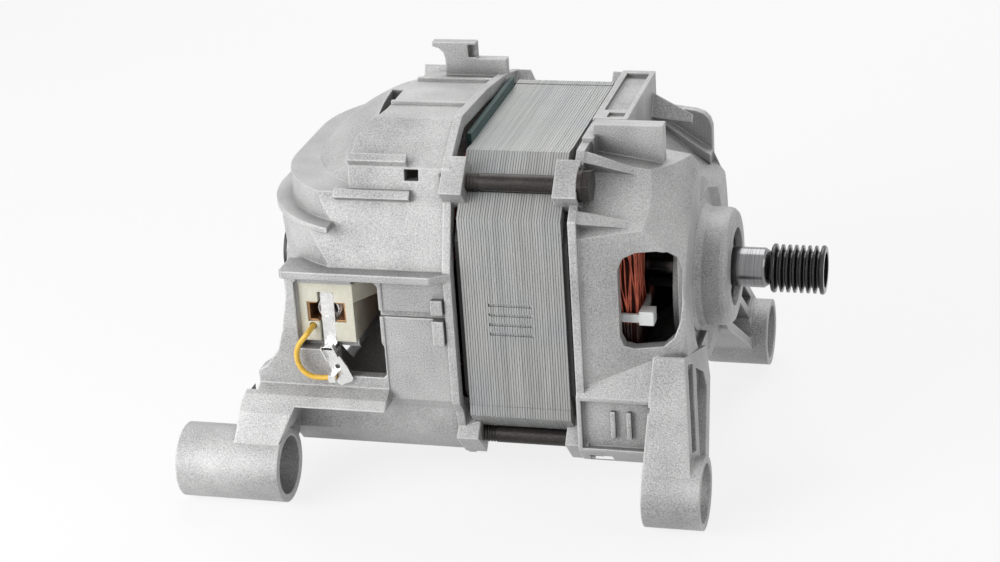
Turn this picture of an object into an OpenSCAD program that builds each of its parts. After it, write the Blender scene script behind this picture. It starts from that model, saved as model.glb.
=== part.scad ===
// Washing machine motor: a brushed universal motor between two die-cast end shields.
// Millimetres. The shaft runs along X with the pulley at +X and Z is up. The pieces are drawn
// about the middle of the lamination stack, then set with the middle of the belt face at the origin.

/* [Stator] */
// Length of the lamination stack along the shaft
stack_len = 36; // [33:1:42]
// Stack width across two opposite flats
stack_w = 110; // [107:1:113]
// Length of each flat between two corner chamfers
flat_w = 74; // [71:1:76]
// Bore the armature turns in
bore_d = 62.4; // [61.4:0.2:63.4]
// Air gap between armature and bore
air_gap = 0.6; // [0.4:0.1:1]

/* [Field coils] */
// How far the coil ends stand out past the stack
coil_out = 23; // [20:0.5:24]
// Diameter of the enamelled wire with its varnish
wire_d = 0.9; // [0.7:0.05:0.95]
// Loops of the outer layer seen on the face of a coil
face_loops = 4; // [2:1:4]
// Loops of the outer layer round the side of a coil
side_loops = 9; // [6:1:9]

/* [Shaft and bearings] */
// Shaft diameter in the pulley-side bearing
shaft_d = 15; // [14:0.5:16]
// Shaft diameter in the rear bearing
rear_shaft_d = 12; // [11:0.5:12.5]
// Outer diameter of the pulley-side bearing
front_bearing_d = 35; // [34:0.5:36]
// Width of the pulley-side bearing
front_bearing_w = 11; // [10:0.5:12]
// Outer diameter of the rear bearing
rear_bearing_d = 32; // [31:0.5:33]
// Width of the rear bearing
rear_bearing_w = 10; // [9:0.5:11]

/* [Pulley] */
// Number of belt grooves
groove_count = 7; // [5:1:8]
// Distance from one belt groove to the next
groove_pitch = 2.34; // [2.3:0.02:2.5]
// Outer diameter of the pulley rims
pulley_d = 17.4; // [17:0.2:19]

/* [End shields] */
// Wall thickness of the castings
wall = 3.5; // [3:0.25:4]
// Length of the pulley-side bell from rim to face
bell_len = 36.7; // [35:0.1:38]
// Outer diameter of the pulley-side hub
hub_d = 42; // [41:0.5:45]
// Open mouth of the pulley-side hub
hub_mouth_d = 28; // [26:0.5:29]
// Radius of the domed rear end
dome_r = 67; // [66:0.5:68.5]

/* [Mounting lugs] */
// Outer diameter of the four lug tubes
lug_d = 25.5; // [24.5:0.5:28]
// Bore of the four lug tubes
lug_bore = 21; // [18:0.5:21.5]
// Sideways distance from shaft axis to lug axis
lug_y = 65.6; // [64.6:0.2:67]
// Depth of the lug axes below the shaft axis
lug_drop = 55.7; // [54.7:0.2:57.5]
// Length of the pulley-side lugs
front_lug_len = 20; // [18:1:22]
// Length of the rear lugs
rear_lug_len = 38; // [35:1:40]

/* [Through bolts] */
// Thread diameter of the four through bolts
bolt_d = 6; // [5:0.5:6.5]
// Radius of the bolt circle
bolt_r = 67.2; // [66.6:0.2:68]

/* [Brush gear] */
// Commutator diameter under the brushes
commutator_d = 33; // [31:0.5:34]
// Number of commutator bars
bar_count = 24; // [20:2:28]
// Brush width along the shaft
brush_w = 12.5; // [11:0.5:13]
// Brush thickness round the commutator
brush_t = 6; // [5:0.25:6.5]
// Diameter of the insulated brush lead
lead_d = 2.4; // [2:0.1:2.8]

/* [Hidden] */
$fn = 72;
touch = 0.02;
run_gap = 0.3;

half = stack_len / 2;
flat_y = stack_w / 2;
flat_half = flat_w / 2;
chamfer_r = (flat_y + flat_half) / sqrt(2);

// Yoke, pole body and coil slots of the stack
yoke_t = 10;
pole_half = 19;
slot_y = flat_y - yoke_t;
slot_top = 36.2;
shoe_y = 29;
shoe_top = 29.5;
notch_gap = 0.5;

// Coil frames: the least rib outside a coil slot
frame_rib = 2.65;
frame_r = norm([slot_y, slot_top]) + frame_rib;

// Rims of the two shields
rim_gap = 2.6;
rim_t = 2.8;
rim_lip = 1.2;
front_rim = half + rim_gap;
front_rim_end = front_rim + rim_t;
bell_face = front_rim + bell_len;
rear_rim = -front_rim;
rear_ref = -half - 1;
rear_rim_end = -front_rim_end;

// Ears that reach over the corners of the stack and take the bolts
ear_reach = 2.4;
ear_half = 7;
ear_in = frame_r + 0.6;
ear_out = bolt_r + 4.8;
ear_fit = 0.1;
ear_proud = 0.4;
rear_ear_end = rear_rim_end;
corner_angles = [45, 135, 225, 315];

// Pulley-side bell
bell_ball_r = flat_y + 20;
bell_ball_x = half - 21;
bell_side_half = flat_y + 0.5;
bell_side_end = flat_y - 10.5;
bell_roof_half = flat_y - 3;
bell_roof_end = flat_y - 9;
bell_corner_half = chamfer_r - 4;
bell_corner_end = bell_corner_half - 6;
bell_corner_wall = 2.4;
window_x0 = front_rim + 15;
window_x1 = bell_face - 1;
window_z0 = -10.6;
window_z1 = 24.6;

// Pulley-side hub and its bearing
hub_r = hub_d / 2;
hub_end = bell_face + 10.2;
hub_edge = 3;
hub_disc_r = 32;
dish_depth = 3;
mouth_lip = 2.5;
front_brg_x1 = hub_end - mouth_lip;
front_brg_x0 = front_brg_x1 - front_bearing_w;

// Skirt and feet of the pulley-side shield
skirt_y = flat_y + 2;
skirt_in = 10;
skirt_top = -14.5;
skirt_slope = 12;
skirt_low = 1 - flat_y;
skirt_cut = 7;
arm_x0 = front_rim + 25.5;
front_lug_x1 = arm_x0 + 20.1;
far_lug_more = 3.3;

// Rear housing
rear_wall_y = flat_y + 2;
rear_hub_r = rear_bearing_d / 2 + 3.5;
rear_brg_x1 = rear_ref - 60.5;
rear_brg_x0 = rear_brg_x1 - rear_bearing_w;
washer_t = 0.6;
rear_lip = 2.2;
rear_lip_x = rear_brg_x0 - washer_t - rear_lip;
rear_hub_end = rear_lip_x - 1.7;
dome_flat = 3;
dome_x = rear_hub_end + dome_r - dome_flat;
rear_lip_r = 9.5;
rear_lug_x1 = rear_ref - 64;

// Armature
armature_r = bore_d / 2 - air_gap;
core_half = half + 1;
slot_count = 24;
slot_r = 24;
slot_d = 4.6;
slot_mouth = 2.2;
body_d = shaft_d + 2;
neck_d = shaft_d - 0.8;
seat_d = 11;
stub_d = 8;

// Commutator and brushes
riser_x1 = rear_ref - 34;
riser_w = 4;
bar_x1 = riser_x1 - riser_w;
bar_len = 20.5;
bar_x0 = bar_x1 - bar_len;
bar_in_r = body_d / 2 + 2;
bar_slit = 0.7;
brush_x = (bar_x0 + bar_x1) / 2;
comm_r = commutator_d / 2;
brush_in = comm_r + run_gap;
brush_out = 42;
brush_fit = 0.06;
guide_t = 0.7;
holder_face = rear_wall_y - 1.6;
holder_in = 25;
holder_half_x = 10;
holder_half_z = 11;
spring_d = 8.6;
spring_wire = 0.8;
spring_turns = 5;
strip_t = 0.8;
strip_w = 5.4;
strip_foot = -holder_half_z - 2;

// Pulley
pulley_r = pulley_d / 2;
pulley_x0 = hub_end + 12.8;
pulley_edge = 1.16;
pulley_len = groove_count * groove_pitch + 2 * pulley_edge;
pulley_mid = pulley_x0 + pulley_len / 2;
groove_depth = 2.1;
crest_drop = 0.2;
crest_w = 0.62;
root_w = 0.5;
recess_d = 12.6;
recess_depth = 2;

// Tacho generator on the end of the rear hub
tacho_r = 12.5;
tacho_shell = 0.9;
tacho_lid = 1.3;
coil_len = 4.2;
magnet_r = 7.2;
magnet_len = 3.9;
tacho_gap = 1.1;
magnet_x1 = rear_lip_x - 0.1;
magnet_x0 = magnet_x1 - magnet_len;
tacho_end = rear_lip_x - coil_len - 0.3;

cast = [0.76, 0.77, 0.79];
steel = [0.62, 0.62, 0.63];
iron = [0.55, 0.56, 0.56];
copper = [0.72, 0.30, 0.16];
black = [0.08, 0.08, 0.09];
teal = [0.10, 0.32, 0.30];
cream = [0.90, 0.87, 0.76];
white = [0.93, 0.93, 0.91];
brass = [0.70, 0.50, 0.28];
yellow = [0.90, 0.68, 0.16];
carbon = [0.17, 0.17, 0.18];
bolt_brown = [0.24, 0.20, 0.18];
silver = [0.83, 0.83, 0.84];
bakelite = [0.30, 0.20, 0.13];

// A flat shape drawn in Y and Z, pulled along X
module x_prism(x0, x1)
    translate([x0, 0, 0]) rotate([90, 0, 90]) linear_extrude(x1 - x0) children();

// A flat shape drawn in X and Z, pulled along Y
module y_prism(y0, y1)
    translate([0, y1, 0]) rotate([90, 0, 0]) linear_extrude(y1 - y0) children();

// A profile drawn in radius and X, turned round the shaft axis
module x_turn()
    rotate([90, 0, 90]) rotate_extrude() children();

module x_rod(x0, x1, d, y = 0, z = 0)
    translate([x0, y, z]) rotate([0, 90, 0]) cylinder(h = x1 - x0, d = d);

module block(x0, x1, y0, y1, z0, z1)
    translate([x0, y0, z0]) cube([x1 - x0, y1 - y0, z1 - z0]);

// A ring round the shaft axis
module ring(x0, x1, r_in, r_out)
    x_turn() translate([r_in, x0]) square([r_out - r_in, x1 - x0]);

// A ball on the shaft axis
module ball(x, r)
    translate([x, 0, 0]) rotate([45, 90, 0]) sphere(r = r, $fn = 144);

module at_corners()
    for (a = corner_angles)
        rotate([a, 0, 0]) children();

module both_sides() {
    children();
    mirror([0, 1, 0]) children();
}

// Corner points of a rectangle with rounded corners, half sizes a and b
corner_steps = 5;
function rounded(a, b, r, n = corner_steps) = [
    for (q = [0:3])
        for (i = [0:n])
            let (t = 90 * q + 90 * i / n)
                [(q == 0 || q == 3 ? a - r : r - a) + r * cos(t), (q < 2 ? b - r : r - b) + r * sin(t)]
];

// Outline of one lamination, grown or shrunk by g
module octagon(g = 0) {
    s = flat_y + g;
    c = flat_half + g * tan(22.5);
    polygon([
        [s, c], [c, s], [-c, s], [-s, c], [-s, -c], [-c, -s], [c, -s], [s, -c]
    ]);
}

// The opening of the stack: bore, coil slots and the space between the pole shoes
module stack_opening() {
    circle(d = bore_d, $fn = 144);
    for (s = [-1, 1])
        difference() {
            translate([-slot_y, s > 0 ? pole_half : -slot_top])
                square([2 * slot_y, slot_top - pole_half]);
            translate([-shoe_y, s > 0 ? pole_half - 1 : -shoe_top])
                square([2 * shoe_y, shoe_top - pole_half + 1]);
        }
}

clinch_x0 = -9;
clinch_len = 15;
clinch_w = 0.7;
clinch_depth = 0.6;
clinch_pitch = 3.6;

module stator_core()
    color(iron)
        difference() {
            x_prism(-half, half)
                difference() {
                    octagon();
                    stack_opening();
                    for (a = corner_angles)
                        rotate(a) translate([bolt_r, 0]) circle(d = bolt_d + 2 * notch_gap);
                }
            // Pressed interlocks that hold the laminations together
            both_sides()
                for (i = [-1.5:1:1.5])
                    block(clinch_x0, clinch_x0 + clinch_len, -flat_y - 1, -flat_y + clinch_depth,
                        i * clinch_pitch - clinch_w / 2, i * clinch_pitch + clinch_w / 2);
        }

// Field coils: a plain core of inner layers with one outer layer of turns wound over it
coil_seat = 0.2;
coil_y1 = -shoe_y - 0.5;
coil_y0 = -(flat_y - yoke_t) + coil_seat + wire_d + touch;
coil_a = half + coil_out - wire_d - touch;
coil_b = slot_top - coil_seat - wire_d - touch;
coil_r = 15;
coil_in_a = half + 6.7;
coil_in_r = 5;

module coil_core()
    y_prism(coil_y0, coil_y1)
        difference() {
            polygon(rounded(coil_a, coil_b, coil_r));
            polygon(rounded(coil_in_a, pole_half, coil_in_r));
        }

module field_coil_near()
    color(copper) coil_core();

module field_coil_far()
    color(copper) mirror([0, 1, 0]) coil_core();

// Path of the outer layer: out across the face of the coil, then along its side.
// Each loop steps over to the next in one corner, the side loops one corner earlier.
wire_pitch = wire_d + 0.46;
loop_rings = 24;
face_step = [18, 22];
side_step_at = [12, 16];
function ramp(j, span) = min(1, max(0, (j - span[0]) / (span[1] - span[0])));
function loop_point(k) =
    let (
        i = floor(k / loop_rings),
        j = k % loop_rings,
        q = floor(j / 6),
        t = 90 * q + 90 * (j % 6) / 5,
        on_face = i < face_loops,
        grow = on_face ? (face_loops - i - ramp(j, face_step)) * wire_pitch : 0,
        along = on_face ? 0 : (i - face_loops + ramp(j, side_step_at)) * side_step,
        r = coil_r + wire_d / 2 + touch - grow,
        a = coil_a + wire_d / 2 + touch - grow,
        b = coil_b + wire_d / 2 + touch - grow
    )
    [
        (q == 0 || q == 3 ? a - r : r - a) + r * cos(t),
        coil_y0 - wire_d / 2 - touch + along,
        (q < 2 ? b - r : r - b) + r * sin(t)
    ];
side_step = (coil_y1 - coil_y0) / (side_loops + 0.2);
wire_path = [for (k = [0:(face_loops + side_loops) * loop_rings]) loop_point(k)];

// Least distance between wire points of neighbouring loops, less the wire itself
wire_room = min([
    for (i = [0:len(wire_path) - loop_rings - 4])
        for (j = [i + loop_rings - 3:i + loop_rings + 3])
            norm(wire_path[i] - wire_path[j]) - wire_d
]);
echo(wire_room = wire_room);

// A tube swept along points, its rings kept square to the path
function unit(v) = v / norm(v);
function path_dir(p, i) =
    i == 0 ? unit(p[1] - p[0])
    : i == len(p) - 1 ? unit(p[i] - p[i - 1])
    : unit(unit(p[i] - p[i - 1]) + unit(p[i + 1] - p[i]));
function side_dir(t, up) = unit(cross(t, up));

module tube(p, d, sides, up) {
    n = len(p);
    points = [
        for (i = [0:n - 1])
            let (t = path_dir(p, i), u = side_dir(t, up), w = cross(t, u))
                for (s = [0:sides - 1])
                    p[i] + d / 2 * (u * cos(360 * s / sides) + w * sin(360 * s / sides))
    ];
    walls = [
        for (i = [0:n - 2])
            for (s = [0:sides - 1])
                let (a = i * sides + s, b = i * sides + (s + 1) % sides)
                    each [[a, b, b + sides], [a, b + sides, a + sides]]
    ];
    caps = [
        [for (s = [sides - 1:-1:0]) s],
        [for (s = [0:sides - 1]) (n - 1) * sides + s]
    ];
    polyhedron(points, concat(walls, caps));
}

wire_sides = 6;
coil_up = [0, 1, 0];

module outer_turns_near()
    color(copper) tube(wire_path, wire_d, wire_sides, coil_up);

module outer_turns_far()
    color(copper) rotate([0, 0, 180]) tube(wire_path, wire_d, wire_sides, coil_up);

// Moulded end frames that keep the coils off the stack
frame_t = 1.6;
frame_edge = 1.5;
rear_frame_top = flat_y + 3.2;
rear_frame_half = 30;

module frame_shape() {
    difference() {
        intersection() {
            octagon(-frame_edge);
            circle(r = frame_r, $fn = 144);
        }
        stack_opening();
    }
}

module coil_frame_front()
    color(black) x_prism(half, half + frame_t) frame_shape();

module coil_frame_rear()
    color(teal)
        x_prism(-half - frame_t, -half) {
            frame_shape();
            translate([-rear_frame_half, slot_top + 4])
                square([2 * rear_frame_half, rear_frame_top - slot_top - 4]);
        }

// Cable tie round the end of the near coil
tie_z = -2.5;
tie_w = 3;
tie_t = 1.1;
tie_gap = 0.06;
tie_head = 5;

module winding_tie() {
    x0 = coil_in_a - tie_gap;
    x1 = coil_a + wire_d + touch + tie_gap;
    y0 = coil_y0 - wire_d - touch - tie_gap;
    y1 = coil_y1 + tie_gap;
    color(white) {
        translate([0, 0, tie_z])
            linear_extrude(tie_w)
                difference() {
                    translate([x0 - tie_t, y0 - tie_t])
                        square([x1 - x0 + 2 * tie_t, y1 - y0 + 2 * tie_t]);
                    translate([x0, y0]) square([x1 - x0, y1 - y0]);
                }
        block(x1 + 0.4, x1 + 0.4 + tie_head, y0 - tie_t - 0.3, y0 + tie_head - 1,
            tie_z - 0.8, tie_z + tie_w + 1.2);
    }
}

// Through bolts with flanged hexagon heads
head_flange_d = 11.4;
head_flange_t = 1.4;
head_af = 10;
head_h = 2.8;
thread_pitch = 1;
thread_depth = 0.4;
thread_turns = 5;
thread_x0 = -half + ear_reach;

module through_bolts()
    color(bolt_brown)
        at_corners()
            translate([0, bolt_r, 0]) {
                x_rod(rear_ear_end, thread_x0, bolt_d);
                x_turn()
                    polygon(concat(
                        [[0, thread_x0]],
                        [for (i = [0:thread_turns - 1])
                            each [
                                [bolt_d / 2, thread_x0 + i * thread_pitch],
                                [bolt_d / 2 - thread_depth, thread_x0 + (i + 0.5) * thread_pitch]
                            ]],
                        [[bolt_d / 2, thread_x0 + thread_turns * thread_pitch],
                            [0, thread_x0 + thread_turns * thread_pitch]]
                    ));
                x_rod(thread_x0 + thread_turns * thread_pitch, front_rim_end, bolt_d);
                x_rod(front_rim_end, front_rim_end + head_flange_t, head_flange_d);
                translate([front_rim_end + head_flange_t, 0, 0])
                    rotate([0, 90, 0]) cylinder(h = head_h, d = head_af / cos(30), $fn = 6);
            }

// Corner ears: a clamp pad on the end of the stack and a hook over its chamfer
module ear(x_clamp, x_back, x_hook) {
    block(min(x_clamp, x_back), max(x_clamp, x_back), ear_in, ear_out, -ear_half, ear_half);
    block(min(x_clamp, x_hook), max(x_clamp, x_hook), chamfer_r + ear_fit, ear_out, -ear_half, ear_half);
}

// Pulley-side shield

// Two tapering planes facing each other across the bell
module bell_taper(x0, at_rim, at_face, x1)
    y_prism(-90, 90)
        polygon([[x0, -at_rim], [x1, -at_face], [x1, at_face], [x0, at_rim]]);

// Solid shape of the bell from x0, drawn in by w on its walls and by c on its corners
module bell_solid(x0, w, c) {
    x1 = bell_face - w;
    intersection() {
        rotate([90, 0, 0]) bell_taper(x0, bell_side_half - w, bell_side_end - w, x1);
        bell_taper(x0, bell_roof_half - w, bell_roof_end - w, x1);
        rotate([45, 0, 0]) bell_taper(x0, bell_corner_half - c, bell_corner_end - c, x1);
        rotate([-45, 0, 0]) bell_taper(x0, bell_corner_half - c, bell_corner_end - c, x1);
        ball(bell_ball_x, bell_ball_r - w);
    }
}

rim_hole = 4.2;

module front_rim_ring()
    x_prism(front_rim, front_rim_end)
        difference() {
            octagon(rim_lip);
            octagon(-rim_hole);
        }

hub_arc = 3;
module front_hub_solid()
    x_turn()
        polygon(concat(
            [[0, front_brg_x0 - wall], [hub_disc_r, front_brg_x0 - wall],
                [hub_disc_r, bell_face - dish_depth - 0.2], [hub_r + 2.6, bell_face - dish_depth - 0.2],
                [hub_r + 2.6, bell_face - dish_depth + 0.6], [hub_r + 0.8, bell_face - dish_depth + 1.8],
                [hub_r, bell_face - dish_depth + 4]],
            [for (i = [0:hub_arc])
                [hub_r - hub_edge + hub_edge * cos(90 * i / hub_arc),
                    hub_end - hub_edge + hub_edge * sin(90 * i / hub_arc)]],
            [[0, hub_end]]
        ));

module front_hub_bore() {
    x_rod(front_brg_x0, front_brg_x1, front_bearing_d);
    x_rod(front_brg_x0 - 40, front_brg_x0, front_bearing_d - 3);
    x_rod(front_brg_x1 - 1, hub_end + 1, hub_mouth_d);
}

// Tapered ribs either side of each bolt head and the room the head needs
gusset_turn = 9.5;
gusset_half = 2.2;
gusset_tip_half = 0.7;
gusset_run = 24;
head_room_d = head_flange_d + 2;
head_room = head_flange_t + head_h + 4;

module front_gussets()
    at_corners()
        for (s = [-1, 1])
            rotate([s * gusset_turn, 0, 0])
                intersection() {
                    translate([0, 0, -gusset_half])
                        linear_extrude(2 * gusset_half)
                            polygon([
                                [front_rim_end - 1, chamfer_r - 11], [front_rim_end - 1, chamfer_r + 2],
                                [front_rim_end + 3, chamfer_r + 0.5], [front_rim_end + gusset_run, chamfer_r - 10],
                                [front_rim_end + gusset_run, chamfer_r - 13]
                            ]);
                    y_prism(0, bell_ball_r)
                        polygon([
                            [front_rim_end - 2, -gusset_half - 0.2], [front_rim_end + gusset_run + 1, -gusset_tip_half],
                            [front_rim_end + gusset_run + 1, gusset_tip_half], [front_rim_end - 2, gusset_half + 0.2]
                        ]);
                }

// Boxed strap on the roof of the rim and the upright plate in front of it
strap_y0 = -12;
strap_y1 = 40;
strap_top = flat_y + 3.4;
strap_len = 12;
strap_recess = 1.6;
plate_y0 = -25;
plate_y1 = -20;
plate_top = flat_y + 6;

module front_roof_strap()
    difference() {
        union() {
            block(front_rim, front_rim + strap_len, strap_y0, strap_y1, strap_top - 14, strap_top);
            block(front_rim + 3, front_rim + 27, plate_y0, plate_y1, plate_top - 25, plate_top);
            block(front_rim, front_rim + 4, plate_y0 - 4, strap_y0, strap_top - 8, strap_top - 1);
        }
        block(front_rim + 2.2, front_rim + strap_len - 1.6, strap_y0 + 9, strap_y1 - 3,
            strap_top - strap_recess, strap_top + 1);
        block(front_rim + 4.5, front_rim + strap_len - 1.6, strap_y0 + 1.6, strap_y0 + 6.5,
            strap_top - 1, strap_top + 1);
    }

// Flat wall on the far side with its slanting rib
far_wall_y0 = flat_y - 13.5;
far_wall_y1 = far_wall_y0 + 3.5;
far_wall_top = flat_y - 9;

module front_far_wall() {
    x0 = front_rim + 2;
    x1 = front_rim + 32;
    z = far_wall_top;
    y_prism(far_wall_y0, far_wall_y1)
        polygon([
            [x0, -10], [x1, -10], [x1, z - 9], [x1 - 1, z - 6], [x1 - 3, z - 4], [x1 - 6, z - 3], [x0, z]
        ]);
    y_prism(far_wall_y0 - 5, far_wall_y1)
        polygon([[x0 + 4, z], [x0 + 4, z - 3], [x1, z - 21.5], [x1, z - 18]]);
}

// Valley between the roof strap and the far wall, open to the pulley side, the slope under the face
// of the bell and the dish round the hub. Drawn again with the wall's thickness as g they keep the
// casting hollow inside.
valley_y0 = strap_y0;
valley_y1 = far_wall_y0 + 0.4;
valley_x0 = front_rim + strap_len;
valley_x1 = bell_face + 1;
valley_top = flat_y - 15.5;
valley_fall = 20;
valley_slope = valley_fall / (valley_x1 - valley_x0);
low_x0 = front_rim + 24.5;
low_top = 34.5;
low_fall = 14.5;
low_room = 1.4;

module bell_hollows(g) {
    y_prism(valley_y0 - g, valley_y1 + g)
        polygon([
            [valley_x0 - g, plate_top], [valley_x0 - g, valley_top - g + g * valley_slope],
            [valley_x1, valley_top - valley_fall - g], [valley_x1, plate_top]
        ]);
    y_prism(-bell_ball_r, bell_ball_r)
        polygon([
            [low_x0, -bell_ball_r], [low_x0, -low_top - low_fall + g * low_room],
            [valley_x1, -low_top + g * low_room], [valley_x1, -bell_ball_r]
        ]);
}

module hub_dish()
    x_turn()
        polygon([
            [0, bell_face - dish_depth], [hub_disc_r - 3, bell_face - dish_depth],
            [hub_disc_r + 0.5, bell_face + 0.5], [hub_disc_r + 0.5, bell_face + 2], [0, bell_face + 2]
        ]);

// Skirt round the lower half of the bell, its top sloping outwards
module front_skirt()
    x_prism(front_rim, arm_x0 + 1)
        difference() {
            polygon([
                [-skirt_y + skirt_in, skirt_top], [-skirt_y, skirt_top - skirt_slope],
                [-skirt_y, skirt_low + skirt_cut], [-skirt_y + skirt_cut, skirt_low],
                [skirt_y - skirt_cut, skirt_low], [skirt_y, skirt_low + skirt_cut],
                [skirt_y, skirt_top - skirt_slope], [skirt_y - skirt_in, skirt_top]
            ]);
            polygon([
                [-skirt_y + 12, skirt_top + 1], [-skirt_y + 12, skirt_top - 12.5],
                [-skirt_y + wall + 3, skirt_top - 12.5], [-skirt_y + wall + 3, skirt_low + skirt_cut + 1.5],
                [-skirt_y + skirt_cut + 3, skirt_low + wall], [skirt_y - skirt_cut - 3, skirt_low + wall],
                [skirt_y - wall - 3, skirt_low + skirt_cut + 1.5], [skirt_y - wall - 3, skirt_top - 12.5],
                [skirt_y - 12, skirt_top - 12.5], [skirt_y - 12, skirt_top + 1]
            ]);
        }

// Feet: a flange slopes from the bell out to each lug. Its pulley side has two pockets between ribs.
foot_front = [
    [-16, -24], [-skirt_y + 9.5, -14], [-lug_y - 8.9, -lug_drop + 8.9], [-lug_y, -lug_drop - 2],
    [-lug_y + 9.6, -lug_drop - 4.3], [-20, -low_top + 0.4]
];
foot_side = [
    [arm_x0, -8], [bell_face - 0.6, -8], [bell_face - 0.6, -13], [front_lug_x1 - 2, -lug_drop + 2],
    [front_lug_x1 - 2, -lug_drop - 20], [arm_x0, -lug_drop - 20]
];
foot_pocket_x = arm_x0 + 5.5;
foot_pocket_top = [[-45.4, -17.5], [-65, -41.3], [-58.5, -43.5], [-38.5, -20.5]];
foot_pocket_low = [[-36, -23], [-56, -46], [-53.8, -52], [-50, -51.6], [-27, -34.5], [-27, -29]];

module front_feet()
    both_sides()
        difference() {
            intersection() {
                x_prism(arm_x0, front_lug_x1) polygon(foot_front);
                y_prism(-bell_ball_r, 0) polygon(foot_side);
            }
            x_prism(foot_pocket_x, front_lug_x1 + 1) {
                polygon(foot_pocket_top);
                polygon(foot_pocket_low);
            }
        }

// Small ear with a slot under the near side of the hub
eye_y = -15;
eye_z = -30.2;
eye_half_y = 3.4;
eye_half_z = 1.9;

module front_eye()
    x_prism(bell_face - 4.2, bell_face - 0.4)
        translate([eye_y, eye_z])
            polygon([
                [-7.5, 6], [-7.5, -0.5], [-5.5, -4.5], [-1, -7], [5, -6.6], [9.5, -4], [12, 0], [12, 6]
            ]);

module front_eye_slot()
    x_prism(front_brg_x0 - wall - 1, bell_face + 1)
        translate([eye_y, eye_z])
            polygon([
                [-eye_half_y, -eye_half_z + 1], [-eye_half_y + 1, -eye_half_z], [eye_half_y - 1, -eye_half_z],
                [eye_half_y, -eye_half_z + 1], [eye_half_y, eye_half_z - 1], [eye_half_y - 1, eye_half_z],
                [-eye_half_y + 1, eye_half_z], [-eye_half_y, eye_half_z - 1]
            ]);

lug_x0_front = front_lug_x1 - front_lug_len;

module front_lugs() {
    x_rod(lug_x0_front, front_lug_x1, lug_d, -lug_y, -lug_drop);
    x_rod(lug_x0_front, front_lug_x1 + far_lug_more, lug_d, lug_y, -lug_drop);
}

// Sunk panel with two upright bars in the near skirt
panel_x0 = front_rim + 1.5;
panel_z0 = skirt_low + skirt_cut + 1;
panel_z1 = skirt_top - skirt_slope - 1.4;
panel_depth = 2.4;
bar_x = [11.6, 17.2];
bar_w = 1.6;

module front_panel()
    difference() {
        block(panel_x0, arm_x0 + 0.6, -skirt_y - 3, -skirt_y + panel_depth, panel_z0, panel_z1);
        for (b = bar_x)
            block(front_rim + b, front_rim + b + bar_w, -skirt_y + 0.8, -skirt_y + panel_depth + 1,
                panel_z0 + 4, panel_z1 - 4);
    }

// Window in each side of the bell, its lower pulley-side corner cut off on a slant
window_in = bell_side_end - wall - 2;

module front_windows()
    both_sides()
        y_prism(-bell_ball_r, -window_in)
            polygon([
                [window_x0, window_z0 + 4.5], [window_x0 + 1.3, window_z0 + 1.3], [window_x0 + 4.5, window_z0],
                [window_x1 - 6.5, window_z0], [window_x1 - 3, window_z0 + 3], [window_x1 - 0.8, window_z0 + 9],
                [window_x1, window_z0 + 16], [window_x1, window_z1 - 8], [window_x1 - 1.5, window_z1 - 3.6],
                [window_x1 - 4.5, window_z1 - 0.8], [window_x1 - 8, window_z1], [window_x0 + 6, window_z1],
                [window_x0 + 1.8, window_z1 - 1.8], [window_x0, window_z1 - 6]
            ]);

module front_end_shield()
    color(cast)
        difference() {
            union() {
                difference() {
                    union() {
                        difference() {
                            bell_solid(front_rim, 0, 0);
                            bell_hollows(0);
                            hub_dish();
                        }
                        front_rim_ring();
                        front_gussets();
                        front_roof_strap();
                        front_far_wall();
                        front_skirt();
                        front_feet();
                        front_eye();
                    }
                    difference() {
                        bell_solid(front_rim - 1, wall, bell_corner_wall);
                        bell_hollows(wall);
                    }
                    front_panel();
                }
                at_corners() ear(half, front_rim_end + ear_proud, half - ear_reach);
                front_hub_solid();
                front_lugs();
            }
            front_hub_bore();
            front_windows();
            front_eye_slot();
            at_corners() {
                x_rod(half - ear_reach - 1, front_rim_end + 1, bolt_d + 0.6, bolt_r, 0);
                x_rod(front_rim_end, front_rim_end + head_room, head_room_d, bolt_r, 0);
            }
            both_sides()
                x_rod(lug_x0_front - 1, front_lug_x1 + far_lug_more + 1, lug_bore, -lug_y, -lug_drop);
        }

// Rear shield

// Outline of the rear housing in Y and Z
rear_outline = [
    [-rear_wall_y, 18], [5 - flat_y, 40], [6.5 - flat_y, flat_y - 3], [16 - flat_y, flat_y + 3.5],
    [-30, flat_y + 8.5], [2, flat_y + 7], [30, flat_y + 3.5], [flat_y - 7, flat_y - 1], [flat_y, 41],
    [rear_wall_y, 18], [rear_wall_y, -31], [rear_wall_y - 4, -36], [rear_wall_y - 7, -48],
    [rear_wall_y - 15, -rear_wall_y], [15 - rear_wall_y, -rear_wall_y], [7 - rear_wall_y, -48],
    [4 - rear_wall_y, -36], [-rear_wall_y, -31]
];

module rear_shape(g)
    offset(delta = g) polygon(rear_outline);

// Back edge of the straight housing in X and Y, before the dome takes over
roof_edge = [
    [rear_ref - 33, 90], [rear_ref - 32.5, 3], [rear_ref - 31.5, -20], [rear_ref - 32, -27],
    [rear_ref - 37.5, -38], [rear_ref - 38, -50], [rear_ref - 46, -57], [rear_ref - 47, -90]
];
roof_back = concat(roof_edge, [[rear_rim + 1, -90], [rear_rim + 1, 90]]);
roof_slot = 4.2;

// Upright drum behind the brushes: half its plan spacing, its radius and the step near its top
drum_x = rear_ref - 27;
drum_y = rear_wall_y - 43;
drum_r = 46.5;
drum_z0 = -34;
drum_step_z = 33;
drum_top = 43;
drum_step = 4.5;
drum_fin = 1.4;

module drum(z0, z1, r)
    translate([0, 0, z0])
        linear_extrude(z1 - z0) {
            for (y = [-drum_y, drum_y])
                translate([drum_x, y]) circle(r = r, $fn = 120);
            translate([drum_x - r, -drum_y]) square([2 * r, 2 * drum_y]);
        }

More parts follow.
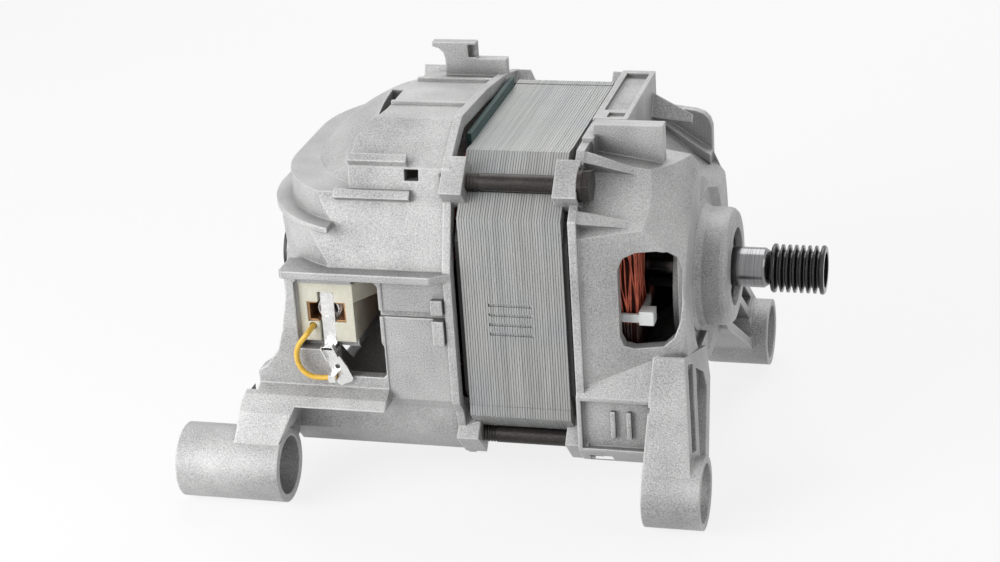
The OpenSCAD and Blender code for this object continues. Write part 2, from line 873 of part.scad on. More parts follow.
// Solid shape of the rear housing, drawn in by w on every side
module rear_solid(w)
    intersection() {
        x_prism(dome_x - dome_r - 1, rear_rim) rear_shape(-w);
        union() {
            ball(dome_x, dome_r - w);
            translate([w, 0, -90]) linear_extrude(180) polygon(roof_back);
            drum(drum_z0 + w, drum_step_z - w, drum_r - w);
            drum(drum_z0 + w, drum_top - w, drum_r - drum_step - w);
        }
    }

module rear_rim_ring()
    x_prism(rear_rim_end, rear_rim)
        difference() {
            rear_shape(rim_lip);
            rear_shape(-wall - 0.5);
        }

module rear_hub_solid()
    x_rod(rear_hub_end, rear_brg_x1 + 2, 2 * rear_hub_r);

module rear_hub_bore() {
    x_rod(rear_brg_x0 - washer_t, rear_brg_x1 + 3, rear_bearing_d);
    x_rod(rear_lip_x - 1, rear_brg_x0, 2 * rear_lip_r);
    x_rod(rear_hub_end - 1, rear_lip_x, 2 * tacho_r);
    // Flat end face across the dome
    x_rod(dome_x - dome_r - 2, rear_hub_end, 2 * dome_r);
}

// Feet: the near wall runs down in an S to each lug tube
rear_foot_side = [
    [rear_ref - 61, 16], [rear_ref - 62.2, 5], [rear_ref - 64.5, -7], [rear_ref - 66.8, -14.4],
    [rear_ref - 71.6, -20.7], [rear_ref - 77.5, -24.7], [rear_ref - 80, -32], [rear_ref - 82.5, -57],
    [rear_ref - 65, -57], [rear_ref - 64.5, -44],
    [rear_ref - 60, -33], [rear_ref - 27, -33], [rear_ref - 27, 16]
];
rear_foot_front = [
    [3.5 - rear_wall_y, 16], [-rear_wall_y - 0.4, 16], [-rear_wall_y - 0.4, -27.5], [-rear_wall_y - 5, -30],
    [-lug_y - 1.4, -35], [-lug_y - 7.9, -46], [-lug_y - 0.4, -56], [7 - rear_wall_y, -50], [7 - rear_wall_y, -33]
];

module rear_feet()
    both_sides()
        intersection() {
            y_prism(-90, -40) polygon(rear_foot_side);
            x_prism(rear_ref - 90, rear_ref - 20) polygon(rear_foot_front);
        }

// Beams under the housing that tie the feet to the rim
rear_beam = [
    [2 - rear_wall_y, -31], [4 - rear_wall_y, -36], [7 - rear_wall_y, -48], [15 - rear_wall_y, -rear_wall_y],
    [21 - rear_wall_y, -rear_wall_y], [21 - rear_wall_y, 4.5 - rear_wall_y],
    [13 - rear_wall_y, 13 - rear_wall_y], [8 - rear_wall_y, -31]
];

module rear_beams()
    both_sides()
        x_prism(rear_ref - 67, rear_rim) polygon(rear_beam);

module rear_lugs()
    both_sides()
        x_rod(rear_lug_x1 - rear_lug_len, rear_lug_x1, lug_d + 1, -lug_y, -lug_drop);

// Long fin over each brush window, shorter fins and ridges above it
fin_z = 15.2;
fin_t = 2.6;

module rear_fins() {
    both_sides() {
        translate([0, 0, fin_z])
            linear_extrude(fin_t)
                polygon([
                    [rear_ref - 62, 7 - rear_wall_y], [rear_ref - 62, -rear_wall_y - 4.5],
                    [rear_ref - 61, -rear_wall_y - 5.5], [rear_ref - 8, -rear_wall_y - 5.5],
                    [rear_rim, -rear_wall_y - 1], [rear_rim, 7 - rear_wall_y]
                ]);
        x_prism(rear_ref - 38, rear_ref - 17)
            polygon([
                [11 - flat_y, flat_y - 5], [7.5 - flat_y, flat_y + 1.5], [5.5 - flat_y, flat_y - 0.5],
                [8 - flat_y, flat_y - 5]
            ]);
    }
    x_prism(rear_ref - 43, rear_ref - 16)
        polygon([[9 - flat_y, 44], [4.2 - flat_y, 44.5], [2.4 - flat_y, 42], [6 - flat_y, 39.4]]);
    x_prism(rear_ref - 40, rear_ref - 16)
        polygon([[flat_y - 5, 44], [flat_y - 0.5, 44.5], [flat_y + 1, 42], [flat_y - 1.5, 40]]);
    intersection() {
        drum(drum_step_z - 2, drum_step_z, drum_r + drum_fin);
        block(drum_x - 90, rear_ref - 44, -90, 90, 0, 90);
    }
    block(rear_ref - 33, rear_rim - 0.5, -15.3, -13.7, flat_y + 3, flat_y + 8.9);
    block(rear_ref - 32, rear_rim - 0.5, 18.2, 19.8, flat_y + 2.5, flat_y + 6.2);
}

// Hook on the roof that holds the wiring
hook_y0 = 30.5;
hook_y1 = 34;
hook_top = flat_y + 16;
hook_step = hook_top - 6.1;
hook_foot = flat_y + 1;
hook_end = rear_ref - 12.8;

module rear_hook()
    y_prism(hook_y0, hook_y1)
        polygon([
            [rear_ref - 24.7, hook_foot], [rear_ref - 24.7, hook_step], [rear_ref - 25.4, hook_top - 4],
            [rear_ref - 27, hook_top - 2.4], [rear_ref - 29.4, hook_top - 1.7], [rear_ref - 29.4, hook_top - 0.1],
            [hook_end, hook_top], [hook_end, hook_step], [rear_rim, hook_step], [rear_rim, hook_foot]
        ]);

module rear_hook_notch()
    block(hook_end - 3.1, hook_end + 1, hook_y0 - 1, hook_y0 + 2.2, hook_step + 0.4, hook_top - 1);

// Wall details beside the brush window
clip_x0 = rear_rim - 7.5;

module rear_side_details()
    both_sides()
        block(clip_x0, clip_x0 + 4, -rear_wall_y - 2.4, -rear_wall_y + 1, -9, 8);

// Opening for the brush holder, with a lower part beside the spade
window_left = brush_x - holder_half_x - 0.6;
window_right = rear_ref - 28.3;
rear_window = [
    [window_left, strip_foot - 0.5], [window_left, 11.4], [window_left + 1.4, 12.8],
    [window_right - 1.4, 12.8], [window_right, 11.4], [window_right, -10], [window_right + 0.8, -11],
    [window_right + 0.8, -22], [window_right - 0.4, -23.2], [rear_ref - 44, -23.2], [rear_ref - 45, -22.2],
    [rear_ref - 45, strip_foot - 0.5]
];
brush_shelf_t = 2.6;

module rear_windows()
    both_sides()
        y_prism(-90, -40) polygon(rear_window);

// Shelves above and below each brush holder
module rear_shelves()
    both_sides() {
        block(brush_x - holder_half_x - 4.2, brush_x + holder_half_x, 1 - rear_wall_y, -30,
            holder_half_z, holder_half_z + brush_shelf_t);
        block(brush_x - holder_half_x - 4.2, brush_x + holder_half_x, 4.4 - rear_wall_y, -30,
            -holder_half_z - brush_shelf_t, -holder_half_z);
        block(brush_x - holder_half_x - 4.2, brush_x - holder_half_x, 1 - rear_wall_y, -30,
            -holder_half_z - brush_shelf_t, holder_half_z + brush_shelf_t);
    }

// Air slots in the dome, the long slot behind the roof and small cuts in the walls
air_slots = 6;

module rear_cuts() {
    for (i = [0:air_slots - 1])
        rotate([60 * i + 30, 0, 0])
            block(rear_ref - 90, rear_ref - 50, 24, 42, -5, 5);
    translate([0, 0, 44])
        linear_extrude(40)
            polygon(concat(
                [for (i = [1:4]) roof_edge[i]],
                [for (i = [4:-1:1]) roof_edge[i] - [roof_slot, 0]]
            ));
    both_sides() {
        block(rear_ref - 18, rear_ref - 13, -rear_wall_y - 3, 13 - flat_y, flat_y - 7.5, flat_y - 3.5);
        block(window_right - 1, rear_rim_end, -rear_wall_y - 3, 1.2 - rear_wall_y, 0.2, 2.6);
    }
}

module rear_end_shield()
    color(cast)
        difference() {
            union() {
                difference() {
                    union() {
                        rear_solid(0);
                        rear_rim_ring();
                        rear_feet();
                        rear_beams();
                        rear_fins();
                        rear_hook();
                        rear_side_details();
                    }
                    rear_solid(wall);
                    rear_hook_notch();
                    rear_windows();
                    rear_cuts();
                }
                at_corners() ear(-half, rear_ear_end, -half + ear_reach);
                rear_hub_solid();
                rear_shelves();
                rear_lugs();
            }
            rear_hub_bore();
            at_corners() x_rod(rear_ear_end - 1, -half + ear_reach + 1, bolt_d, bolt_r, 0);
            both_sides()
                x_rod(rear_lug_x1 - rear_lug_len - 1, rear_lug_x1 + 1, lug_bore, -lug_y, -lug_drop);
        }

// Armature: shaft, slotted core, winding, commutator and pulley

module armature_shaft()
    color(steel)
        x_turn()
            polygon([
                [0, magnet_x0 - 0.1], [stub_d / 2 - 0.4, magnet_x0 - 0.1], [stub_d / 2, magnet_x0 + 0.3],
                [stub_d / 2, rear_brg_x0 - 1], [rear_shaft_d / 2, rear_brg_x0 - 1],
                [rear_shaft_d / 2, rear_brg_x1], [body_d / 2, rear_brg_x1], [body_d / 2, front_brg_x0],
                [shaft_d / 2, front_brg_x0], [shaft_d / 2, front_brg_x1 + 0.8],
                [neck_d / 2, front_brg_x1 + 1.2], [neck_d / 2, pulley_x0 - 2.6], [seat_d / 2, pulley_x0],
                [seat_d / 2, pulley_x0 + pulley_len - recess_depth], [0, pulley_x0 + pulley_len - recess_depth]
            ]);

module armature_core()
    color(iron)
        x_prism(-core_half, core_half)
            difference() {
                circle(r = armature_r, $fn = 144);
                circle(d = body_d);
                for (i = [0:slot_count - 1])
                    rotate(360 * i / slot_count) {
                        translate([slot_r, 0]) circle(d = slot_d, $fn = 24);
                        translate([slot_r, -slot_mouth / 2]) square([20, slot_mouth]);
                    }
            }

slot_room = 0.3;

module armature_winding()
    color(copper) {
        for (i = [0:slot_count - 1])
            rotate([360 * i / slot_count, 0, 0])
                x_rod(-core_half - 1, core_half + 1, slot_d - slot_room, slot_r, 0);
        x_turn()
            polygon([
                [body_d / 2, core_half], [27, core_half], [27.2, half + 8], [25, half + 14],
                [20, half + 18], [12, half + 18.5], [body_d / 2, half + 15]
            ]);
        x_turn()
            polygon([
                [body_d / 2, -core_half], [27, -core_half], [27.2, -half - 9], [25, -half - 17],
                [20, -half - 25], [18, riser_x1], [body_d / 2, riser_x1]
            ]);
    }

module commutator_bars()
    color(copper)
        difference() {
            x_turn()
                polygon([
                    [bar_in_r, bar_x0], [comm_r, bar_x0], [comm_r, bar_x1], [comm_r + 3, bar_x1],
                    [comm_r + 3, riser_x1], [bar_in_r, riser_x1]
                ]);
            for (i = [0:bar_count - 1])
                rotate([360 * i / bar_count, 0, 0])
                    block(bar_x0 - 1, riser_x1 + 1, bar_in_r - 1, comm_r + 5, -bar_slit / 2, bar_slit / 2);
        }

module commutator_sleeve()
    color(bakelite) ring(bar_x0 - 1.5, riser_x1, body_d / 2, bar_in_r);

module drive_pulley()
    color(black)
        difference() {
            x_turn()
                polygon(concat(
                    [[seat_d / 2, pulley_x0], [pulley_r - 0.5, pulley_x0], [pulley_r, pulley_x0 + 0.5],
                        [pulley_r, pulley_x0 + pulley_edge]],
                    [for (i = [0:groove_count - 1])
                        let (x = pulley_x0 + pulley_edge + i * groove_pitch)
                            each [
                                [pulley_r - crest_drop, x + crest_w / 2],
                                [pulley_r - crest_drop - groove_depth, x + (groove_pitch - root_w) / 2],
                                [pulley_r - crest_drop - groove_depth, x + (groove_pitch + root_w) / 2],
                                [pulley_r - crest_drop, x + groove_pitch - crest_w / 2]
                            ]],
                    [[pulley_r, pulley_x0 + pulley_len - pulley_edge],
                        [pulley_r, pulley_x0 + pulley_len - 0.5], [pulley_r - 0.5, pulley_x0 + pulley_len],
                        [seat_d / 2, pulley_x0 + pulley_len]]
                ));
            x_rod(pulley_x0 + pulley_len - recess_depth, pulley_x0 + pulley_len + 1, recess_d);
        }

// Ball bearings: rings, balls in a cage, rubber seals
seal_t = 0.8;
seal_inset = 0.3;
race_gap = 0.2;
cage_fit = 0.06;
cage_web = 0.3;

function ball_pitch(bore, od) = (bore + od) / 4;
function ball_r(bore, od) = (od - bore) * 0.148;

module race_ring(x0, w, bore, od, r_in, r_out)
    difference() {
        ring(x0, x0 + w, r_in, r_out);
        translate([x0 + w / 2, 0, 0])
            x_turn()
                translate([ball_pitch(bore, od), 0])
                    circle(r = ball_r(bore, od) + race_gap, $fn = 36);
    }

module outer_race(x0, w, bore, od)
    race_ring(x0, w, bore, od, ball_pitch(bore, od) + ball_r(bore, od) * 0.7, od / 2);

module inner_race(x0, w, bore, od)
    race_ring(x0, w, bore, od, bore / 2, ball_pitch(bore, od) - ball_r(bore, od) * 0.7);

module ball_set(x0, w, bore, od, n)
    for (i = [0:n - 1])
        rotate([360 * i / n, 0, 0])
            translate([x0 + w / 2, ball_pitch(bore, od), 0]) sphere(r = ball_r(bore, od), $fn = 36);

module ball_cage(x0, w, bore, od, n) {
    p = ball_pitch(bore, od);
    b = ball_r(bore, od);
    difference() {
        ring(x0 + w / 2 - b - cage_web, x0 + w / 2 + b + cage_web, p - b * 0.34, p + b * 0.34);
        for (i = [0:n - 1])
            rotate([360 * i / n, 0, 0])
                translate([x0 + w / 2, p - b, 0])
                    rotate([-90, 0, 0]) cylinder(h = 2 * b, r = b + cage_fit, $fn = 36);
    }
}

module seal_pair(x0, w, bore, od) {
    r_out = ball_pitch(bore, od) + ball_r(bore, od) * 0.7;
    r_in = ball_pitch(bore, od) - ball_r(bore, od) * 0.7 + run_gap;
    ring(x0 + seal_inset, x0 + seal_inset + seal_t, r_in, r_out);
    ring(x0 + w - seal_inset - seal_t, x0 + w - seal_inset, r_in, r_out);
}

front_balls = 8;
rear_balls = 7;

module front_bearing_outer_ring()
    color(steel) outer_race(front_brg_x0, front_bearing_w, shaft_d, front_bearing_d);
module front_bearing_inner_ring()
    color(steel) inner_race(front_brg_x0, front_bearing_w, shaft_d, front_bearing_d);
module front_bearing_balls()
    color(silver) ball_set(front_brg_x0, front_bearing_w, shaft_d, front_bearing_d, front_balls);
module front_bearing_cage()
    color(brass) ball_cage(front_brg_x0, front_bearing_w, shaft_d, front_bearing_d, front_balls);
module front_bearing_seals()
    color(black) seal_pair(front_brg_x0, front_bearing_w, shaft_d, front_bearing_d);

module rear_bearing_outer_ring()
    color(steel) outer_race(rear_brg_x0, rear_bearing_w, rear_shaft_d, rear_bearing_d);
module rear_bearing_inner_ring()
    color(steel) inner_race(rear_brg_x0, rear_bearing_w, rear_shaft_d, rear_bearing_d);
module rear_bearing_balls()
    color(silver) ball_set(rear_brg_x0, rear_bearing_w, rear_shaft_d, rear_bearing_d, rear_balls);
module rear_bearing_cage()
    color(brass) ball_cage(rear_brg_x0, rear_bearing_w, rear_shaft_d, rear_bearing_d, rear_balls);
module rear_bearing_seals()
    color(black) seal_pair(rear_brg_x0, rear_bearing_w, rear_shaft_d, rear_bearing_d);

// Spring washer that loads the rear bearing endwise
module bearing_spring_washer()
    color(steel) ring(rear_brg_x0 - washer_t, rear_brg_x0, rear_lip_r + 1.5, rear_bearing_d / 2 - 0.2);

// Tacho generator: magnet on the shaft stub, pickup coil in a moulded cap
module tacho_magnet()
    color(carbon) ring(magnet_x0, magnet_x1, stub_d / 2, magnet_r);

module tacho_coil()
    color(copper)
        ring(rear_lip_x - coil_len, rear_lip_x, magnet_r + tacho_gap, tacho_r - tacho_shell);

module tacho_cap()
    color(black)
        difference() {
            x_rod(tacho_end - tacho_lid, rear_lip_x, 2 * tacho_r);
            x_rod(tacho_end, rear_lip_x + 1, 2 * (tacho_r - tacho_shell));
        }

// Brush gear, drawn on the near side and mirrored for the far side
module far_side()
    mirror([0, 1, 0]) children();

bore_w = brush_w + 2 * brush_fit + 2 * guide_t;
bore_t = brush_t + 2 * brush_fit + 2 * guide_t;
spring_bore = spring_d + 1;
strip_slot = strip_w + 0.5;
strip_top = holder_half_z - 3.5;

module brush_holder()
    difference() {
        union() {
            block(brush_x - holder_half_x, brush_x + holder_half_x, -holder_face, -holder_in,
                -holder_half_z, holder_half_z);
            // Sloping hood on the side of the window
            translate([0, 0, holder_half_z - 7])
                linear_extrude(7)
                    polygon([
                        [brush_x + holder_half_x, -holder_face], [brush_x + holder_half_x + 6, -46],
                        [brush_x + holder_half_x + 6, -38], [brush_x + holder_half_x, -34]
                    ]);
        }
        block(brush_x - bore_w / 2, brush_x + bore_w / 2, -holder_face - 1, -holder_in + 1,
            -bore_t / 2, bore_t / 2);
        translate([brush_x, -brush_out + 5, 0])
            rotate([90, 0, 0]) cylinder(h = 40, d = spring_bore);
        block(brush_x - strip_slot / 2, brush_x + strip_slot / 2, -holder_face - 1, -holder_face + 4,
            -holder_half_z - 1, strip_top);
        translate(lead_path[0]) rotate([90, 0, 0]) cylinder(h = 20, d = lead_d + 2 * lead_fit, $fn = 24);
    }

module brush_guide()
    difference() {
        block(brush_x - bore_w / 2, brush_x + bore_w / 2, -holder_face + 0.6, -holder_in,
            -bore_t / 2, bore_t / 2);
        block(brush_x - bore_w / 2 + guide_t, brush_x + bore_w / 2 - guide_t, -holder_face - 1, -holder_in + 1,
            -bore_t / 2 + guide_t, bore_t / 2 - guide_t);
        translate([brush_x, -brush_out + 5, 0])
            rotate([90, 0, 0]) cylinder(h = 40, d = spring_bore);
    }

module carbon_brush()
    difference() {
        block(brush_x - brush_w / 2, brush_x + brush_w / 2, -brush_out, -comm_r / 2,
            -brush_t / 2, brush_t / 2);
        x_rod(bar_x0 - 5, bar_x1 + 10, 2 * brush_in);
    }

// Coil spring between brush and terminal strip
spring_y0 = -holder_face + strip_t + 1.2;
spring_len = -spring_y0 - brush_out;
spring_rings = 8;
spring_path = [
    for (k = [0:spring_turns * spring_rings])
        let (f = k / (spring_turns * spring_rings), t = 360 * k / spring_rings)
            [
                brush_x + (spring_d - spring_wire) / 2 * cos(t),
                spring_y0 + spring_wire / 2 + f * (spring_len - spring_wire),
                (spring_d - spring_wire) / 2 * sin(t)
            ]
];

module brush_spring()
    tube(spring_path, spring_wire, 6, [0, 1, 0]);

// Terminal strip over the spring with a slanting spade at its foot
spade_turn = 24;
spade_len = 14;
spade_w = 7;
spade_t = 0.9;
spade_hole = 1.8;
spade_shift = 0.6;
spade_y1 = -rear_wall_y - 0.8;
spade_y0 = spade_y1 - spade_t;

module at_spade()
    translate([brush_x, 0, strip_foot]) rotate([0, -spade_turn, 0]) translate([spade_shift, 0, 0]) children();

module brush_terminal()
    difference() {
        union() {
            block(brush_x - strip_w / 2, brush_x + strip_w / 2, spring_y0 - strip_t, spring_y0,
                strip_foot, strip_top);
            block(brush_x - strip_w / 2, brush_x + strip_w / 2, spade_y0, spring_y0,
                strip_foot, strip_foot + strip_t);
            at_spade() block(-spade_w / 2, spade_w / 2, spade_y0, spade_y1, -spade_len, 1.6);
        }
        at_spade() translate([0, 0, -spade_len / 2]) rotate([90, 0, 0]) cylinder(h = 90, d = spade_hole);
    }

// Insulated lead from the brush to the spade, bowed out to one side
lead_fit = 0.1;
lead_y = spade_y0 - lead_d / 2 - touch;
lead_start = -holder_face + 3;
lead_knots = [
    [-5.4, lead_start, -5.4], [-5.4, lead_start - 3, -5.4], [-5.5, lead_start - 5.4, -5.6],
    [-6.2, lead_y + 0.5, -6.6], [-7.6, lead_y, -8.2], [-9.4, lead_y, -10.6], [-10.5, lead_y, -13.4],
    [-10.6, lead_y, -16.4], [-9.7, lead_y, -19.2], [-7.8, lead_y, -21.4], [-5.2, lead_y, -22.6],
    [-2.4, lead_y, -22.8], [0.4, lead_y, -22.6], [3, lead_y, -22.4]
];
lead_path = [for (k = lead_knots) [brush_x + k[0], k[1], k[2]]];

module brush_lead()
    tube(lead_path, lead_d, 8, [0.7, 0.2, -0.7]);

module brush_holder_near()
    color(cream) brush_holder();
module brush_holder_far()
    color(cream) far_side() brush_holder();
module brush_guide_near()
    color(brass) brush_guide();
module brush_guide_far()
    color(brass) far_side() brush_guide();
module carbon_brush_near()
    color(carbon) carbon_brush();
module carbon_brush_far()
    color(carbon) far_side() carbon_brush();
module brush_spring_near()
    color(steel) brush_spring();
module brush_spring_far()
    color(steel) far_side() brush_spring();
module brush_terminal_near()
    color(silver) brush_terminal();
module brush_terminal_far()
    color(silver) far_side() brush_terminal();
module brush_lead_near()
    color(yellow) brush_lead();
module brush_lead_far()
    color(yellow) far_side() brush_lead();

// Terminal block on the far wall of the rear shield
block_x0 = rear_ref - 36;
block_len = 28;
block_z0 = 20;
block_h = 18;
block_y1 = rear_wall_y + 12;
block_wall = 1.6;
pin_count = 6;
pin_w = 0.8;
pin_h = 6.3;

module terminal_block()
    color(black)
        difference() {
            block(block_x0, block_x0 + block_len, rear_wall_y - 3, block_y1, block_z0, block_z0 + block_h);
            block(block_x0 + block_wall, block_x0 + block_len - block_wall, rear_wall_y + 3, block_y1 + 1,
                block_z0 + block_wall, block_z0 + block_h - block_wall);
            rear_solid(0);
        }

module terminal_pins()
    color(silver)
        for (i = [0:pin_count - 1])
            translate([block_x0 + block_len * (i + 0.5) / pin_count, rear_wall_y + 3, block_z0 + (block_h - pin_h) / 2])
                translate([-pin_w / 2, 0, 0]) cube([pin_w, 8, pin_h]);

// Brings the middle of the belt face to the origin
module placed()
    translate([-pulley_mid, 0, 0]) children();

placed() front_end_shield();
placed() rear_end_shield();
placed() stator_core();
placed() field_coil_near();
placed() field_coil_far();
placed() outer_turns_near();
placed() outer_turns_far();
placed() coil_frame_front();
placed() coil_frame_rear();
placed() winding_tie();
placed() through_bolts();
placed() armature_shaft();
placed() armature_core();
placed() armature_winding();
placed() commutator_bars();
placed() commutator_sleeve();
placed() drive_pulley();
placed() front_bearing_outer_ring();
placed() front_bearing_inner_ring();
placed() front_bearing_balls();
placed() front_bearing_cage();
placed() front_bearing_seals();
placed() rear_bearing_outer_ring();
placed() rear_bearing_inner_ring();
placed() rear_bearing_balls();
placed() rear_bearing_cage();
placed() rear_bearing_seals();
placed() bearing_spring_washer();
placed() tacho_magnet();
placed() tacho_coil();
placed() tacho_cap();
placed() brush_holder_near();
placed() brush_holder_far();
placed() brush_guide_near();
placed() brush_guide_far();
placed() carbon_brush_near();
placed() carbon_brush_far();
placed() brush_spring_near();
placed() brush_spring_far();
placed() brush_terminal_near();
placed() brush_terminal_far();
placed() brush_lead_near();
placed() brush_lead_far();
placed() terminal_block();
placed() terminal_pins();
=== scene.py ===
import math

import bmesh
import bpy
from mathutils import Matrix, Vector


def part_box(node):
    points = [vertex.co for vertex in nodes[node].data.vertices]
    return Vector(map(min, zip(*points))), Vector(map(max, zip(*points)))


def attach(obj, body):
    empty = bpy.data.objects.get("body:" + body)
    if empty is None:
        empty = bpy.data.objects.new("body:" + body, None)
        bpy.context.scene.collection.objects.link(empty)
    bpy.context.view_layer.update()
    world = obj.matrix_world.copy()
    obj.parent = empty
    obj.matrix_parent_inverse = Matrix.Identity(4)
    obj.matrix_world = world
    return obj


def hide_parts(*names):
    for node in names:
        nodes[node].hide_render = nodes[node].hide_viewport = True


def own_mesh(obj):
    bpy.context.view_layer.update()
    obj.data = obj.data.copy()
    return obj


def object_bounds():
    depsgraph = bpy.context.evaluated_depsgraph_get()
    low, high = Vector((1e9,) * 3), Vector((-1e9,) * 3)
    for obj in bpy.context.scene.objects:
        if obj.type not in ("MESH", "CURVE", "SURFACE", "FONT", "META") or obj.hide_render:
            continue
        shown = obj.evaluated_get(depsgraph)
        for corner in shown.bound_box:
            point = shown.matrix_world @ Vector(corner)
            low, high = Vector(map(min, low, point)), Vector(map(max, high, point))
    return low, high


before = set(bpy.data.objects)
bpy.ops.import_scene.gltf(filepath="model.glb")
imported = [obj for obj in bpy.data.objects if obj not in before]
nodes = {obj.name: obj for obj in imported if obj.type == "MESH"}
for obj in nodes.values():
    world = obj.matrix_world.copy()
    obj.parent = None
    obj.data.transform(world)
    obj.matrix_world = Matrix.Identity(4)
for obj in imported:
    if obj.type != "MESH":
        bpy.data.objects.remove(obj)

cad_box = [list(corner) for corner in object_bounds()]
mm = 0.001


# Studio: a plain pale floor under the lug tubes and soft boxes of light, low on the left, high behind and on
# the right. The camera looks down on the side with the lead, from a little towards the pulley.
scene = bpy.context.scene
scene.view_settings.view_transform = "Standard"

camera = bpy.data.objects.new("camera", bpy.data.cameras.new("camera"))
scene.collection.objects.link(camera)
scene.camera = camera
camera.data.sensor_width = 36
camera.data.lens = 82.43
camera.data.clip_start = 0.01
right = Vector((0.96655, 0.24912, -0.06116))
up = Vector((-0.04480, 0.39868, 0.91599))
ahead = Vector((-0.25258, 0.88260, -0.39650))
eye = Vector((101.75, -738.1, 321.6)) * mm
camera.matrix_world = Matrix((
    (right.x, up.x, -ahead.x, eye.x),
    (right.y, up.y, -ahead.y, eye.y),
    (right.z, up.z, -ahead.z, eye.z),
    (0, 0, 0, 1),
))


def put(tree, kind, settings=None, **inputs):
    """A node of that kind. Inputs go by name, or by place as i0, i1; a socket given as a value is linked."""
    made = tree.nodes.new(kind)
    for key, value in (settings or {}).items():
        setattr(made, key, value)
    for key, value in inputs.items():
        place = int(key[1:]) if key[0] == "i" and key[1:].isdigit() else key.replace("_", " ")
        if isinstance(value, bpy.types.NodeSocket):
            tree.links.new(value, made.inputs[place])
        else:
            made.inputs[place].default_value = value
    return made


def seen_directly(tree):
    """1 for rays that show the background: from the camera, in gloss and through glass."""
    path = put(tree, "ShaderNodeLightPath")
    first = put(tree, "ShaderNodeMath", {"operation": "MAXIMUM"},
                i0=path.outputs["Is Camera Ray"], i1=path.outputs["Is Glossy Ray"])
    return put(tree, "ShaderNodeMath", {"operation": "MAXIMUM"},
               i0=first.outputs[0], i1=path.outputs["Is Transmission Ray"]).outputs[0]


world = bpy.data.worlds.new("studio")
world.use_nodes = True
scene.world = world
sky = world.node_tree
sky.nodes.clear()
ambient = 0.20
level = put(sky, "ShaderNodeMapRange", Value=seen_directly(sky), To_Min=ambient, To_Max=1.0)
backdrop = put(sky, "ShaderNodeBackground", Color=(1, 1, 1, 1), Strength=level.outputs[0])
put(sky, "ShaderNodeOutputWorld", Surface=backdrop.outputs[0])

floor_half = 3.0
floor_z = cad_box[0][2] - 0.05 * mm
floor_mesh = bpy.data.meshes.new("floor")
floor_mesh.from_pydata(
    [(x * floor_half, y * floor_half, floor_z) for x, y in ((-1, -1), (1, -1), (1, 1), (-1, 1))],
    [], [(0, 1, 2, 3)])
floor = bpy.data.objects.new("floor", floor_mesh)
scene.collection.objects.link(floor)
paper = bpy.data.materials.new("studio_paper")
paper.use_nodes = True
sheet = paper.node_tree
sheet.nodes.clear()
paper_glow = 0.82
glow = put(sheet, "ShaderNodeMath", {"operation": "MULTIPLY"}, i0=seen_directly(sheet), i1=paper_glow)
matt = put(sheet, "ShaderNodeBsdfDiffuse", Color=(0.88, 0.88, 0.88, 1))
lit = put(sheet, "ShaderNodeEmission", Color=(1, 1, 1, 1), Strength=1.0)
both = put(sheet, "ShaderNodeMixShader", i0=glow.outputs[0], i1=matt.outputs[0], i2=lit.outputs[0])
put(sheet, "ShaderNodeOutputMaterial", Surface=both.outputs[0])
floor_mesh.materials.append(paper)

for name, place, aim, size, watts in (
    ("key_light", (-0.58, -0.47, 0.22), (-0.13, 0, 0), 0.5, 4.7),
    ("top_light", (-0.15, 0.72, 1.02), (-0.09, 0, 0), 1.1, 8.6),
    ("fill_light", (0.95, -0.35, 0.55), (-0.05, 0, 0), 0.6, 2.0),
):
    lamp = bpy.data.lights.new(name, "AREA")
    lamp.shape = "SQUARE"
    lamp.size = size
    lamp.energy = watts
    box = bpy.data.objects.new(name, lamp)
    box.location = place
    box.rotation_euler = (Vector(aim) - Vector(place)).to_track_quat("-Z", "Y").to_euler()
    scene.collection.objects.link(box)


# End shields: two die-castings in aluminium alloy, blasted to an even speckle, that hold the bearings and
# clamp the stack between them. Blasting wears their edges pale, and painted shade darkens their corners.
FLOAT, VECTOR = "NodeSocketFloat", "NodeSocketVector"


def group(name, inputs, outputs):
    """A shader node group with named inputs and outputs."""
    tree = bpy.data.node_groups.new(name, "ShaderNodeTree")
    for direction, sockets in (("INPUT", inputs), ("OUTPUT", outputs)):
        for key, kind in sockets.items():
            tree.interface.new_socket(key, in_out=direction, socket_type=kind)
    return tree, tree.nodes.new("NodeGroupInput"), tree.nodes.new("NodeGroupOutput")


# Fine grain with broad patches of tone, both from 0 to 1
grain_tree, grain_in, grain_out = group(
    "grain", {"Vector": VECTOR, "Grain size": FLOAT, "Patch size": FLOAT}, {"Grain": FLOAT, "Patch": FLOAT})
for key, size, detail in (("Grain", "Grain size", 3.0), ("Patch", "Patch size", 2.0)):
    per_metre = put(grain_tree, "ShaderNodeMath", {"operation": "DIVIDE"}, i0=1.0, i1=grain_in.outputs[size])
    cloud = put(grain_tree, "ShaderNodeTexNoise", Vector=grain_in.outputs["Vector"],
                Scale=per_metre.outputs[0], Detail=detail, Roughness=0.6)
    spread = put(grain_tree, "ShaderNodeMapRange", Value=cloud.outputs["Fac"], From_Min=0.3, From_Max=0.7)
    grain_tree.links.new(spread.outputs[0], grain_out.inputs[key])

# Rounded look for sharp edges, and a mask that is 1 along them
edge_tree, edge_in, edge_out = group("soft_edge", {"Radius": FLOAT}, {"Normal": VECTOR, "Edge": FLOAT})
bevel = put(edge_tree, "ShaderNodeBevel", {"samples": 6}, Radius=edge_in.outputs["Radius"])
facing = put(edge_tree, "ShaderNodeNewGeometry")
along = put(edge_tree, "ShaderNodeVectorMath", {"operation": "DOT_PRODUCT"},
            i0=bevel.outputs[0], i1=facing.outputs["True Normal"])
turned = put(edge_tree, "ShaderNodeMapRange", Value=along.outputs["Value"],
             From_Min=0.995, From_Max=0.85)
edge_tree.links.new(bevel.outputs[0], edge_out.inputs["Normal"])
edge_tree.links.new(turned.outputs[0], edge_out.inputs["Edge"])


